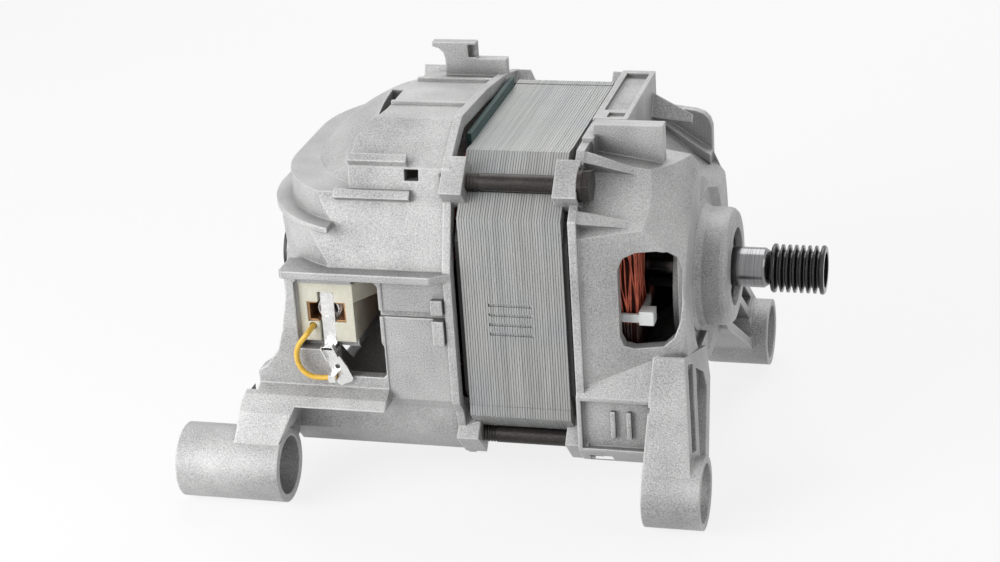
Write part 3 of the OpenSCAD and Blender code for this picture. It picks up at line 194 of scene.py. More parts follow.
def material(name, metallic=0.0, **sockets):
    """An empty material with its Principled shader, its tree and Object coordinates."""
    made = bpy.data.materials.new(name)
    made.use_nodes = True
    tree = made.node_tree
    shader = tree.nodes["Principled BSDF"]
    shader.inputs["Metallic"].default_value = metallic
    for key, value in sockets.items():
        shader.inputs[key.replace("_", " ")].default_value = value
    return made, tree, shader, put(tree, "ShaderNodeTexCoord").outputs["Object"]


def mixed(tree, amount, a, b):
    """Colour from a to b by amount."""
    one = [(*c, 1) if isinstance(c, tuple) else c for c in (a, b)]
    return put(tree, "ShaderNodeMix", {"data_type": "RGBA"}, i0=amount, i6=one[0], i7=one[1]).outputs[2]


def grained(name, dark, light, worn, grain, patch, rough, bump, edge, metallic=0.0, **sockets):
    """A material of grain and patches between two tones, worn paler along its edges."""
    made, tree, shader, at = material(name, metallic, **sockets)
    spots = put(tree, "ShaderNodeGroup", {"node_tree": grain_tree}, Vector=at, Grain_size=grain,
                Patch_size=patch)
    rim = put(tree, "ShaderNodeGroup", {"node_tree": edge_tree}, Radius=edge)
    patch_share, grain_share, rub_share = 0.35, 0.65, 0.6
    blotch = put(tree, "ShaderNodeMath", {"operation": "MULTIPLY"}, i0=spots.outputs["Patch"], i1=patch_share)
    tone = put(tree, "ShaderNodeMath", {"operation": "MULTIPLY_ADD", "use_clamp": True},
               i0=spots.outputs["Grain"], i1=grain_share, i2=blotch.outputs[0])
    body = mixed(tree, tone.outputs[0], dark, light)
    rubbed = put(tree, "ShaderNodeMath", {"operation": "MULTIPLY"}, i0=rim.outputs["Edge"], i1=rub_share)
    tree.links.new(mixed(tree, rubbed.outputs[0], body, worn), shader.inputs["Base Color"])
    gloss = put(tree, "ShaderNodeMapRange", Value=spots.outputs["Grain"], To_Min=rough[0], To_Max=rough[1])
    tree.links.new(gloss.outputs[0], shader.inputs["Roughness"])
    relief = put(tree, "ShaderNodeBump", Strength=bump, Distance=0.15 * mm,
                 Height=spots.outputs["Grain"], Normal=rim.outputs["Normal"])
    tree.links.new(relief.outputs[0], shader.inputs["Normal"])
    return made


def overlaid(finish, colour, strength, mask):
    """Lays a colour over a finish's base colour, by a mask that is made in its tree."""
    tree = finish.node_tree
    base = tree.nodes["Principled BSDF"].inputs["Base Color"]
    amount = put(tree, "ShaderNodeMath", {"operation": "MULTIPLY"}, i0=mask(tree), i1=strength)
    tree.links.new(mixed(tree, amount.outputs[0], base.links[0].from_socket, colour), base)


def in_corners(reach):
    """A mask that is 1 deep in corners and hollows."""
    def mask(tree):
        near = put(tree, "ShaderNodeAmbientOcclusion", {"samples": 6, "only_local": True}, Distance=reach)
        return put(tree, "ShaderNodeMapRange", Value=near.outputs["AO"],
                   From_Min=0.85, From_Max=0.25).outputs[0]
    return mask


def below(low, high):
    """A mask that is 1 under a height in Z and fades out up to another."""
    def mask(tree):
        place = put(tree, "ShaderNodeSeparateXYZ", Vector=put(tree, "ShaderNodeTexCoord").outputs["Object"])
        return put(tree, "ShaderNodeMapRange", Value=place.outputs["Z"],
                   From_Min=high, From_Max=low).outputs[0]
    return mask


def wear(finish, *names):
    """Gives CAD nodes their finish."""
    for name in names:
        nodes[name].data.materials.clear()
        nodes[name].data.materials.append(finish)


cast = grained("blasted_casting", dark=(0.19, 0.19, 0.192), light=(0.66, 0.658, 0.656),
               worn=(0.80, 0.797, 0.79), grain=0.5 * mm, patch=26 * mm, rough=(0.36, 0.56), bump=0.7,
               edge=0.9 * mm, metallic=0.4)
# Painted shade: the casting is darkened deep in its corners and hollows, where shade falls
painted_corner_shade = (0.075, 0.073, 0.070)
overlaid(cast, painted_corner_shade, 0.75, in_corners(9 * mm))
wear(cast, "front_end_shield", "rear_end_shield")


# Stator stack: punched sheets of electrical steel pressed face to face and locked by clinched tabs in the
# middle of the two upright flats. The four bolts lie in a round notch in each corner.
sheets = 40
stack_low, stack_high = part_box("stator_core")
stack_mid = (stack_low + stack_high) / 2
sheet_pitch = (stack_high.x - stack_low.x) / sheets
sheet_gap = 0.17 * mm
flat_half = 37 * mm
bolt_circle = 67.2 * mm
notch_r = 3.5 * mm
notch_steps = 8
clinch_z = [-5.4 * mm, -1.8 * mm, 1.8 * mm, 5.4 * mm]
clinch_half = 0.6 * mm
clinch_deep = 0.9 * mm
corner_step = 0.25 * mm
step_z = 33 * mm


def sheet_outline(clinched):
    """The outline of one sheet in Y and Z: half of its points, then those turned for the other half."""
    flat = stack_high.y
    side = [(flat, -flat_half), (flat, -step_z), (flat - corner_step, -step_z)]
    if clinched:
        for z in clinch_z:
            side += [(flat - corner_step, z - clinch_half), (flat - clinch_deep, z - clinch_half),
                     (flat - clinch_deep, z + clinch_half), (flat - corner_step, z + clinch_half)]
    side += [(flat - corner_step, step_z), (flat, step_z), (flat, flat_half)]
    reach = (flat + flat_half) / math.sqrt(2)
    spread = math.acos((bolt_circle - reach) / notch_r)

    def notch(turn):
        """The round notch for a bolt in the corner at that angle."""
        middle = math.radians(turn)
        points = []
        for i in range(notch_steps + 1):
            a = middle + math.pi + spread - 2 * spread * i / notch_steps
            points.append((bolt_circle * math.cos(middle) + notch_r * math.cos(a),
                           bolt_circle * math.sin(middle) + notch_r * math.sin(a)))
        return points

    top = [(flat_half, flat), (step_z, flat), (step_z, flat - corner_step)]
    half = side + notch(45) + top + [(-y, z) for y, z in reversed(top)] + notch(135)
    return half + [(-y, -z) for y, z in half]


def sheet_opening():
    """The punched opening: bore, coil slots and pole shoes."""
    bore, slot_y, slot_top, pole, shoe_y, shoe_z = (v * mm for v in (31.2, 45, 36.2, 19, 29, 29.5))
    steps = 20
    gap = math.acos(shoe_z / bore)
    shoe = [(bore * math.cos(a), bore * math.sin(a))
            for a in (math.pi / 2 + gap + (math.pi - 2 * gap) * i / steps for i in range(steps + 1))]
    half = [(slot_y, pole), (slot_y, slot_top), (-slot_y, slot_top), (-slot_y, pole), (-shoe_y, pole),
            (-shoe_y, shoe_z)] + shoe + [(-shoe_y, -shoe_z), (-shoe_y, -pole)]
    return half + [(-y, -z) for y, z in half]


def plate(name, loops, thick):
    """A closed plate from its outline and openings in Y and Z, its back at X 0."""
    bm = bmesh.new()
    edges = []
    for loop in loops:
        points = [bm.verts.new((0, y, z)) for y, z in loop]
        edges += [bm.edges.new((points[i - 1], points[i])) for i in range(len(points))]
    faces = [f for f in bmesh.ops.triangle_fill(bm, use_beauty=True, edges=edges)["geom"]
             if isinstance(f, bmesh.types.BMFace)]
    grown = bmesh.ops.extrude_face_region(bm, geom=faces, use_keep_orig=True)["geom"]
    bmesh.ops.translate(bm, vec=(thick, 0, 0), verts=[v for v in grown if isinstance(v, bmesh.types.BMVert)])
    bmesh.ops.recalc_face_normals(bm, faces=bm.faces)
    made = bpy.data.meshes.new(name)
    bm.to_mesh(made)
    bm.free()
    return made


def tree_of(name, inputs):
    """A geometry node tree with named inputs after its Geometry, and its input node."""
    tree = bpy.data.node_groups.new(name, "GeometryNodeTree")
    tree.interface.new_socket("Geometry", in_out="INPUT", socket_type="NodeSocketGeometry")
    for key, kind in inputs.items():
        tree.interface.new_socket(key, in_out="INPUT", socket_type=kind)
    tree.interface.new_socket("Geometry", in_out="OUTPUT", socket_type="NodeSocketGeometry")
    return tree, tree.nodes.new("NodeGroupInput")


def close_tree(tree, given, shape):
    """Realize Instances and Set Material at the end of a tree."""
    real = put(tree, "GeometryNodeRealizeInstances", Geometry=shape)
    dressed = put(tree, "GeometryNodeSetMaterial", Geometry=real.outputs[0], Material=given.outputs["Finish"])
    put(tree, "NodeGroupOutput", Geometry=dressed.outputs[0])


def grow(name, mesh, tree, values):
    """The mesh that a tree makes from a start mesh."""
    carrier = bpy.data.objects.new(name, mesh)
    scene.collection.objects.link(carrier)
    modifier = carrier.modifiers.new(tree.name, "NODES")
    modifier.node_group = tree
    for item in tree.interface.items_tree:
        if item.in_out == "INPUT" and item.name in values:
            modifier[item.identifier] = values[item.name]
    bpy.context.view_layer.update()
    made = bpy.data.meshes.new_from_object(carrier.evaluated_get(bpy.context.evaluated_depsgraph_get()))
    carrier.modifiers.clear()
    bpy.data.objects.remove(carrier)
    made.name = name
    return made


def joined(name, meshes):
    """One mesh of several, each in its own material."""
    bm = bmesh.new()
    made = bpy.data.meshes.new(name)
    for m in meshes:
        known = len(bm.faces)
        bm.from_mesh(m)
        finish = m.materials[0]
        if finish.name not in made.materials:
            made.materials.append(finish)
        bm.faces.ensure_lookup_table()
        for face in bm.faces[known:]:
            face.material_index = made.materials.find(finish.name)
    bm.to_mesh(made)
    bm.free()
    return made


def piece(name, mesh, body, slot, *replaced):
    """A finished piece at the origin that rides on a body and stands for CAD nodes."""
    made = bpy.data.objects.new(name, mesh)
    scene.collection.objects.link(made)
    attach(made, body)
    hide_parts(*replaced)
    return made


stack_tree, given = tree_of("stack_of_sheets", {
    "Count": "NodeSocketInt", "First": "NodeSocketFloat", "Pitch": "NodeSocketFloat",
    "Spread": "NodeSocketFloat", "Seed": "NodeSocketInt", "Finish": "NodeSocketMaterial"})
first = put(stack_tree, "ShaderNodeCombineXYZ", X=given.outputs["First"])
step = put(stack_tree, "ShaderNodeCombineXYZ", X=given.outputs["Pitch"])
row = put(stack_tree, "GeometryNodeMeshLine", {"mode": "OFFSET"}, Count=given.outputs["Count"],
          Start_Location=first.outputs[0], Offset=step.outputs[0])
least = put(stack_tree, "ShaderNodeMath", {"operation": "SUBTRACT"}, i0=1.0, i1=given.outputs["Spread"])
size = put(stack_tree, "FunctionNodeRandomValue", {"data_type": "FLOAT"}, i2=least.outputs[0], i3=1.0,
           Seed=given.outputs["Seed"])
scale = put(stack_tree, "ShaderNodeCombineXYZ", X=1.0, Y=size.outputs[1], Z=size.outputs[1])
set_out = put(stack_tree, "GeometryNodeInstanceOnPoints", Points=row.outputs[0],
              Instance=given.outputs["Geometry"], Scale=scale.outputs[0])
close_tree(stack_tree, given, set_out.outputs[0])

lamination, tree, shader, at = material("sheet_edges", metallic=0.5)
sheet_no = put(tree, "ShaderNodeSeparateXYZ", Vector=at)
sheet_no = put(tree, "ShaderNodeMath", {"operation": "DIVIDE"}, i0=sheet_no.outputs["X"], i1=sheet_pitch)
sheet_no = put(tree, "ShaderNodeMath", {"operation": "FLOOR"}, i0=sheet_no.outputs[0])
shade = put(tree, "ShaderNodeTexWhiteNoise", {"noise_dimensions": "1D"}, W=sheet_no.outputs[0])
drawn = put(tree, "ShaderNodeMapping", Vector=at, Scale=(1.4 / mm, 0.06 / mm, 0.06 / mm))
streak = put(tree, "ShaderNodeTexNoise", Vector=drawn.outputs[0], Scale=1.0, Detail=4.0, Roughness=0.65)
tint = put(tree, "ShaderNodeTexNoise", Vector=at, Scale=45.0, Detail=2.0)
sheet_contrast = 0.42
tone = put(tree, "ShaderNodeMath", {"operation": "MULTIPLY_ADD"},
           i0=shade.outputs["Value"], i1=sheet_contrast, i2=streak.outputs["Fac"])
tone = put(tree, "ShaderNodeMapRange", Value=tone.outputs[0], From_Min=0.25, From_Max=1.25)
steel = mixed(tree, tone.outputs[0], (0.29, 0.295, 0.285), (0.50, 0.502, 0.49))
cool = put(tree, "ShaderNodeMapRange", Value=tint.outputs["Fac"], From_Min=0.45, From_Max=0.75, To_Max=0.5)
tree.links.new(mixed(tree, cool.outputs[0], steel, (0.33, 0.345, 0.37)), shader.inputs["Base Color"])
dull = put(tree, "ShaderNodeMapRange", Value=streak.outputs["Fac"], To_Min=0.38, To_Max=0.62)
tree.links.new(dull.outputs[0], shader.inputs["Roughness"])
burr = put(tree, "ShaderNodeBump", Strength=0.25, Distance=0.1 * mm, Height=streak.outputs["Fac"])
tree.links.new(burr.outputs[0], shader.inputs["Normal"])

sheet_t = sheet_pitch - sheet_gap
plain_sheet = plate("plain_sheet", (sheet_outline(False), sheet_opening()), sheet_t)
clinched_sheet = plate("clinched_sheet", (sheet_outline(True), sheet_opening()), sheet_t)
for blank in (plain_sheet, clinched_sheet):
    blank.materials.append(lamination)
sheet_spread = 0.0016
runs = []
placed = 0
for count, blank, seed in ((10, plain_sheet, 3), (17, clinched_sheet, 5), (13, plain_sheet, 8)):
    runs.append(grow("sheet_run", blank, stack_tree, {
        "Count": count, "First": stack_low.x + placed * sheet_pitch + sheet_gap / 2, "Pitch": sheet_pitch,
        "Spread": sheet_spread, "Seed": seed, "Finish": lamination}))
    placed += count
piece("stator_sheets", joined("stator_sheets", runs), "housing", "laminations", "stator_core")


# Field coils: enamelled copper wire wound on the two poles, one unbroken wire to a coil, tied and baked
# hard. The outer layer lies over packed inner layers, painted near black as shade between the turns.
wire_tree, given = tree_of("wire_on_path", {
    "Wire": "NodeSocketFloat", "Sides": "NodeSocketInt", "Finish": "NodeSocketMaterial"})
route = put(wire_tree, "GeometryNodeMeshToCurve", Mesh=given.outputs["Geometry"])
radius = put(wire_tree, "ShaderNodeMath", {"operation": "MULTIPLY"}, i0=given.outputs["Wire"], i1=0.5)
section = put(wire_tree, "GeometryNodeCurvePrimitiveCircle", Resolution=given.outputs["Sides"],
              Radius=radius.outputs[0])
drawn = put(wire_tree, "GeometryNodeCurveToMesh", Curve=route.outputs[0], Profile_Curve=section.outputs[0],
            Fill_Caps=True)
smooth = put(wire_tree, "GeometryNodeSetShadeSmooth", Geometry=drawn.outputs[0])
close_tree(wire_tree, given, smooth.outputs[0])


def wire(name, lines, thick, sides, finish):
    """The mesh of wires of that thickness, one along each line of points."""
    points, edges = [], []
    for line in lines:
        edges += [(len(points) + i, len(points) + i + 1) for i in range(len(line) - 1)]
        points += [tuple(p) for p in line]
    path = bpy.data.meshes.new(name)
    path.from_pydata(points, edges, [])
    return grow(name, path, wire_tree, {"Wire": thick, "Sides": sides, "Finish": finish})


def enamel(name, dark, light, metallic=0.55, shine=0.5, gloss=0.35):
    """Enamelled copper wire under a coat of varnish."""
    made, tree, shader, at = material(name, metallic, Specular_IOR_Level=shine, Coat_Weight=gloss,
                                      Coat_Roughness=0.15)
    cloud = put(tree, "ShaderNodeTexNoise", Vector=at, Scale=260.0, Detail=3.0)
    spread = put(tree, "ShaderNodeMapRange", Value=cloud.outputs["Fac"], From_Min=0.3, From_Max=0.7)
    tree.links.new(mixed(tree, spread.outputs[0], dark, light), shader.inputs["Base Color"])
    dull = put(tree, "ShaderNodeMapRange", Value=cloud.outputs["Fac"], To_Min=0.28, To_Max=0.48)
    tree.links.new(dull.outputs[0], shader.inputs["Roughness"])
    return made


tie_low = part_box("winding_tie")[0]
copper = enamel("enamelled_copper", (0.32, 0.050, 0.026), (0.66, 0.155, 0.085))
# Painted shade: the copper is painted near black below the tie, where the turns lie in shade in the window
overlaid(copper, (0.016, 0.008, 0.006), 0.97, below(tie_low.z - 1 * mm, tie_low.z + 1.5 * mm))
# Painted shade: the packed inner copper is near black and dull, standing for the shade between the turns
shaded_packing = enamel("packed_copper_painted_shade", (0.020, 0.006, 0.004), (0.05, 0.012, 0.007),
                metallic=0.0, shine=0.05, gloss=0.0)

coil_wire = 0.7 * mm
loop_points = 80
face_turns = 22
side_turns = 20
coil_y0, coil_y1 = -44.78 * mm, -29.6 * mm
inner_half, outer_half = (24.9 * mm, 19.2 * mm, 5 * mm), (41.0 * mm, 36.0 * mm, 15.9 * mm)


def coil_ring(share, t):
    """A point in X and Z on a rounded rectangle between the pole and the outside of the coil, from the
    middle of the brush end up, over the pole and round."""
    a, b, r = (i + (o - i) * share for i, o in zip(inner_half, outer_half))
    along, upright, bend = 2 * (a - r), 2 * (b - r), math.pi / 2 * r
    left = (t % 1.0) * 2 * (along + upright + 2 * bend)
    x, z, heading = -a, 0.0, math.pi / 2
    for i, run in enumerate((upright / 2, bend, along, bend, upright, bend, along, bend, upright / 2)):
        step = min(left, run)
        if i % 2:
            turned = heading - step / r
            x += r * (math.sin(heading) - math.sin(turned))
            z -= r * (math.cos(heading) - math.cos(turned))
            heading = turned
        else:
            x += step * math.cos(heading)
            z += step * math.sin(heading)
        left -= step
    return x, z


def clamped(value):
    """The value, held between 0 and 1."""
    return min(1.0, max(0.0, value))


def coil_path():
    """Loops from the pole outwards over the face, then along the outside of the coil. Each changes over
    to the next at the brush end, and strays over its neighbours where it hangs free at the pulley end."""
    sink, held_stray, loose_stray = 0.45 * mm, 0.5, 1.5
    change_from = 0.85
    points = []
    for k in range((face_turns + side_turns) * loop_points):
        i, t = divmod(k, loop_points)
        t /= loop_points
        change = clamped((t - change_from) / (1 - change_from))
        # Uneven phases, so that no two turns run alike
        wave = sink * math.sin(7.0 * i + 5.0 * math.sin(2 * math.pi * t + i))
        loose = max(0.0, math.sin(math.pi * (2 * t - 0.5))) * max(0.0, 1 - abs(2 * t - 1)) ** 0.5
        stray = held_stray * math.sin(3.7 * i + 9.0 * t) * min(1.0, 8 * t, 8 * (1 - t)) \
            + loose_stray * loose * math.sin(5.3 * i + 26.0 * t * (1.1 + 0.8 * math.sin(2.1 * i)))
        if i < face_turns:
            share = clamped((i + change + stray) / face_turns)
            y = coil_y0 + coil_wire / 2 + abs(wave)
        else:
            share = 1.0
            across = clamped((i - face_turns + change + stray) / side_turns)
            y = coil_y0 + coil_wire / 2 + across * (coil_y1 - coil_y0 - coil_wire)
        x, z = coil_ring(share, t)
        inset = (coil_wire / 2 + abs(wave)) / math.hypot(x, z)
        points.append(Vector((stack_mid.x + x * (1 - inset), y, z * (1 - inset))))
    return points


def skinned(name, rings, finish):
    """A closed mesh over rings of points, the last ring joined to the first."""
    bm = bmesh.new()
    rows = [[bm.verts.new(point) for point in ring] for ring in rings]
    for a, b in zip(rows, rows[1:] + rows[:1]):
        for i in range(len(a)):
            j = (i + 1) % len(a)
            bm.faces.new((a[i], a[j], b[j], b[i]))
    bmesh.ops.recalc_face_normals(bm, faces=bm.faces)
    made = bpy.data.meshes.new(name)
    bm.to_mesh(made)
    bm.free()
    made.materials.append(finish)
    return made


def coil_heart():
    """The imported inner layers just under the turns."""
    inside, outside = 0.03, 0.93
    y_out, y_in = coil_y0 + 1.2 * coil_wire, coil_y1
    rings = []
    for share, y in ((inside, y_in), (inside, y_out), (outside, y_out), (outside, y_in)):
        around_pole = (coil_ring(share, i / loop_points) for i in range(loop_points))
        rings.append([(stack_mid.x + x, y, z) for x, z in around_pole])
    return skinned("coil_heart", rings, shaded_packing)


turned_round = Matrix.Translation((stack_mid.x, 0, 0)) @ Matrix.Rotation(math.pi, 4, "Z") \
    @ Matrix.Translation((-stack_mid.x, 0, 0))
for side, turn in (("near", Matrix.Identity(4)), ("far", turned_round)):
    coil = joined("coil_" + side, [wire("coil_turns", [coil_path()], coil_wire, sides=6, finish=copper),
                                    coil_heart()])
    coil.transform(turn)
    piece("coil_winding_" + side, coil, "housing", "copper_wire", "field_coil_" + side, "outer_turns_" + side)


# Coil frames and cable tie: moulded end frames of filled nylon keep the wire off the sheets, black at
# the pulley end and green at the brush end. A white nylon tie holds the end of the near coil together.
black_frame = grained("black_frame_nylon", dark=(0.008, 0.008, 0.009), light=(0.03, 0.03, 0.032),
                      worn=(0.06, 0.06, 0.06), grain=0.5 * mm, patch=12 * mm, rough=(0.45, 0.65), bump=0.15,
                      edge=0.3 * mm)
wear(black_frame, "coil_frame_front")
green_frame = grained("green_frame_nylon", dark=(0.006, 0.032, 0.030), light=(0.016, 0.062, 0.057),
                      worn=(0.03, 0.09, 0.085), grain=0.5 * mm, patch=12 * mm, rough=(0.4, 0.6), bump=0.15,
                      edge=0.3 * mm)
# Painted shade: the green frame is near black below its lip, in the gap between stack and rear shield
lip_z0, lip_z1 = 38 * mm, 44 * mm
overlaid(green_frame, (0.008, 0.008, 0.008), 1.0, below(lip_z0, lip_z1))
wear(green_frame, "coil_frame_rear")
nylon = grained("white_nylon_tie", dark=(0.74, 0.74, 0.72), light=(0.86, 0.86, 0.84), worn=(0.9, 0.9, 0.88),
                grain=0.4 * mm, patch=6 * mm, rough=(0.35, 0.5), bump=0.1, edge=0.5 * mm,
                Subsurface_Weight=0.1)
wear(nylon, "winding_tie")


# Through bolts: four long steel bolts with flanged heads, dark oxide on the shank, that pull the
# two shields together over the corners of the stack.
bolt = grained("oxidised_bolt", dark=(0.016, 0.0145, 0.0135), light=(0.058, 0.052, 0.048),
               worn=(0.15, 0.14, 0.13), grain=0.7 * mm, patch=8 * mm, rough=(0.28, 0.48), bump=0.2,
               edge=0.25 * mm, metallic=0.7)
wear(bolt, "through_bolts")


# Armature: a ground steel shaft carries the slotted core, the wire in its slots, the copper bars of
# the commutator on their resin sleeve, and at its end the blackened steel pulley for the ribbed belt.
def turned_metal(name, dark, light, pitch, rough, metallic=1.0, **sockets):
    """Metal turned or ground about the shaft axis, with fine rings along X."""
    made, tree, shader, at = material(name, metallic, **sockets)
    rings = put(tree, "ShaderNodeMapping", Vector=at, Scale=(1 / pitch, 0.03 / mm, 0.03 / mm))
    cloud = put(tree, "ShaderNodeTexNoise", Vector=rings.outputs[0], Scale=1.0, Detail=3.0, Roughness=0.6)
    spread = put(tree, "ShaderNodeMapRange", Value=cloud.outputs["Fac"], From_Min=0.3, From_Max=0.7)
    tree.links.new(mixed(tree, spread.outputs[0], dark, light), shader.inputs["Base Color"])
    gloss = put(tree, "ShaderNodeMapRange", Value=cloud.outputs["Fac"], To_Min=rough[0], To_Max=rough[1])
    tree.links.new(gloss.outputs[0], shader.inputs["Roughness"])
    rim = put(tree, "ShaderNodeGroup", {"node_tree": edge_tree}, Radius=0.2 * mm)
    relief = put(tree, "ShaderNodeBump", Strength=0.12, Distance=0.05 * mm, Height=cloud.outputs["Fac"],
                 Normal=rim.outputs["Normal"])
    tree.links.new(relief.outputs[0], shader.inputs["Normal"])
    return made


ground = turned_metal("ground_shaft", (0.10, 0.10, 0.105), (0.33, 0.33, 0.335), 0.25 * mm, (0.10, 0.24))
wear(ground, "armature_shaft")
blackened = turned_metal("blackened_pulley", (0.006, 0.006, 0.007), (0.016, 0.016, 0.018), 0.4 * mm,
                         (0.12, 0.26), metallic=0.15, Specular_IOR_Level=0.6)
wear(blackened, "drive_pulley")
bars = turned_metal("turned_bars", (0.50, 0.22, 0.11), (0.78, 0.42, 0.26), 0.3 * mm, (0.2, 0.36))
wear(bars, "commutator_bars")
resin = grained("brown_resin", dark=(0.06, 0.03, 0.018), light=(0.12, 0.065, 0.04), worn=(0.18, 0.11, 0.07),
                grain=0.5 * mm, patch=8 * mm, rough=(0.4, 0.6), bump=0.15, edge=0.3 * mm)
wear(resin, "commutator_sleeve")
wear(lamination, "armature_core")

half_stack = (stack_high.x - stack_low.x) / 2
strand = 0.7 * mm
slots, strands_to_slot, coil_span = 24, 5, 11
slot_r, slot_fill = 24 * mm, 4.2 * mm
pulley_end = [(27, 1), (27.2, 8), (25, 14), (20, 18), (13.5, 18.4)]
brush_end = [(27, -1), (27.2, -9), (25, -17), (20, -25), (18.2, -31)]


def on_profile(profile, share, depth):
    """Radius and X at a share of the way along a profile, that depth under its surface."""
    line = [Vector((r * mm, math.copysign(half_stack, x) + x * mm)) for r, x in profile]
    steps = [(b - a).length for a, b in zip(line, line[1:])]
    left = share * sum(steps)
    for a, b, step in zip(line, line[1:], steps):
        if left <= step or b is line[-1]:
            along = (b - a).normalized()
            inward = Vector((-abs(along.y), -math.copysign(abs(along.x), profile[0][1])))
            return a + along * left + inward * depth
        left -= step


def around(radius, x, angle):
    """A point at a radius and angle about the shaft, that far along X from the middle of the stack."""
    return Vector((stack_mid.x + x, radius * math.cos(angle), radius * math.sin(angle)))


def end_turns(profile):
    """Strands that leave each slot, climb over the end of the winding and drop to the slot across."""
    strand_steps, climb = 30, 0.98
    upper_layer, lower_layer = 1.0, 1.9
    lines = []
    for k in range(slots * strands_to_slot):
        start = 2 * math.pi * k / (slots * strands_to_slot)
        line = []
        for i in range(strand_steps + 1):
            t = i / strand_steps
            layer = upper_layer if t > 0.5 else lower_layer
            depth = strand * layer * min(1.0, 8 * t, 8 * (1 - t)) + strand * 0.5
            radius, x = on_profile(profile, climb * math.sin(math.pi * t), depth)
            line.append(around(radius, x, start + 2 * math.pi * coil_span / slots * t))
        lines.append(line)
    return lines


def wound_heart(profile):
    """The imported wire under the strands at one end, closed on the shaft."""
    inner, depth = 9.5 * mm, 2.4 * strand
    along, round_steps = 12, 72
    sides = [on_profile(profile, i / along, depth) for i in range(along + 1)]
    sides = [Vector((inner, sides[0].y))] + sides + [Vector((inner, sides[-1].y))]
    rings = [[around(r, x, 2 * math.pi * i / round_steps) for i in range(round_steps)] for r, x in sides]
    return skinned("wound_heart", rings, shaded_packing)


rotor_copper = enamel("armature_copper", (0.16, 0.035, 0.016), (0.42, 0.11, 0.05))
bundle_end = half_stack + 1.6 * mm
in_slots = [[around(slot_r, x, 2 * math.pi * k / slots) for x in (-bundle_end, bundle_end)]
            for k in range(slots)]
armature_wound = joined("armature_wound", [
    wire("end_turns", end_turns(pulley_end) + end_turns(brush_end), strand, sides=5, finish=rotor_copper),
    wire("slot_bundles", in_slots, slot_fill, sides=10, finish=shaded_packing),
    wound_heart(pulley_end),
    wound_heart(brush_end),
])
piece("armature_wound", armature_wound, "rotor", "copper_wire", "armature_winding")


# Ball bearings: ground steel rings and balls, a pressed brass cage and black rubber seals. A spring
# washer behind the rear bearing takes up the end play.
ring_steel = turned_metal("bearing_ring_steel", (0.42, 0.42, 0.44), (0.66, 0.66, 0.68), 0.2 * mm, (0.16, 0.3))
wear(ring_steel, "front_bearing_outer_ring", "front_bearing_inner_ring", "rear_bearing_outer_ring",
     "rear_bearing_inner_ring", "bearing_spring_washer")
ball_steel = turned_metal("polished_balls", (0.62, 0.62, 0.64), (0.75, 0.75, 0.77), 0.5 * mm, (0.05, 0.12))
wear(ball_steel, "front_bearing_balls", "rear_bearing_balls")
cage_brass = turned_metal("pressed_cage", (0.48, 0.30, 0.12), (0.68, 0.46, 0.22), 0.4 * mm, (0.25, 0.4))
wear(cage_brass, "front_bearing_cage", "rear_bearing_cage")
seal = grained("seal_rubber", dark=(0.008, 0.008, 0.008), light=(0.025, 0.025, 0.026),
               worn=(0.04, 0.04, 0.04), grain=0.4 * mm, patch=6 * mm, rough=(0.5, 0.7), bump=0.15,
               edge=0.2 * mm)
wear(seal, "front_bearing_seals", "rear_bearing_seals")


# Tacho generator: a ring magnet on the end of the shaft turns inside a small coil in a moulded cap,
# pushed into the end of the rear hub.
ferrite = grained("ferrite_magnet", dark=(0.018, 0.018, 0.02), light=(0.05, 0.05, 0.055),
                  worn=(0.1, 0.1, 0.1), grain=0.4 * mm, patch=5 * mm, rough=(0.4, 0.6), bump=0.2,
                  edge=0.2 * mm, metallic=0.3)
wear(ferrite, "tacho_magnet")
cap_black = grained("black_cap_plastic", dark=(0.010, 0.010, 0.011), light=(0.028, 0.028, 0.03),
                    worn=(0.06, 0.06, 0.06), grain=0.35 * mm, patch=10 * mm, rough=(0.3, 0.5), bump=0.15,
                    edge=0.4 * mm)
wear(cap_black, "tacho_cap")
tacho_low, tacho_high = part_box("tacho_coil")
tacho_wire = 0.32 * mm
tacho_pitch = 1.12 * tacho_wire
tacho_turns = int((tacho_high.x - tacho_low.x) / tacho_pitch) - 1
turn_steps, bobbin_steps = 40, 48


def bobbin_path(radius, turns):
    """Turns of fine wire side by side on a round bobbin."""
    total = turns * turn_steps
    points = []
    for k in range(total + 1):
        a = 2 * math.pi * k / turn_steps
        x = tacho_low.x + tacho_wire + (tacho_high.x - tacho_low.x - 2 * tacho_wire) * k / total
        points.append(Vector((x, radius * math.cos(a), radius * math.sin(a))))
    return points


tacho_out = tacho_high.y - tacho_wire / 2
tacho_in = 8.3 * mm
under_wire = tacho_out - 0.2 * mm
rings = []
for radius, x in ((tacho_in, tacho_low.x), (under_wire, tacho_low.x), (under_wire, tacho_high.x),
                  (tacho_in, tacho_high.x)):
    rings.append([(x, radius * math.cos(a), radius * math.sin(a))
                  for a in (2 * math.pi * i / bobbin_steps for i in range(bobbin_steps))])
bobbin = skinned("tacho_bobbin", rings, copper)
tacho_wound = wire("tacho_wire", [bobbin_path(tacho_out, tacho_turns)], tacho_wire, sides=5, finish=copper)
piece("tacho_winding", joined("tacho_winding", [tacho_wound, bobbin]), "housing", "copper_wire", "tacho_coil")


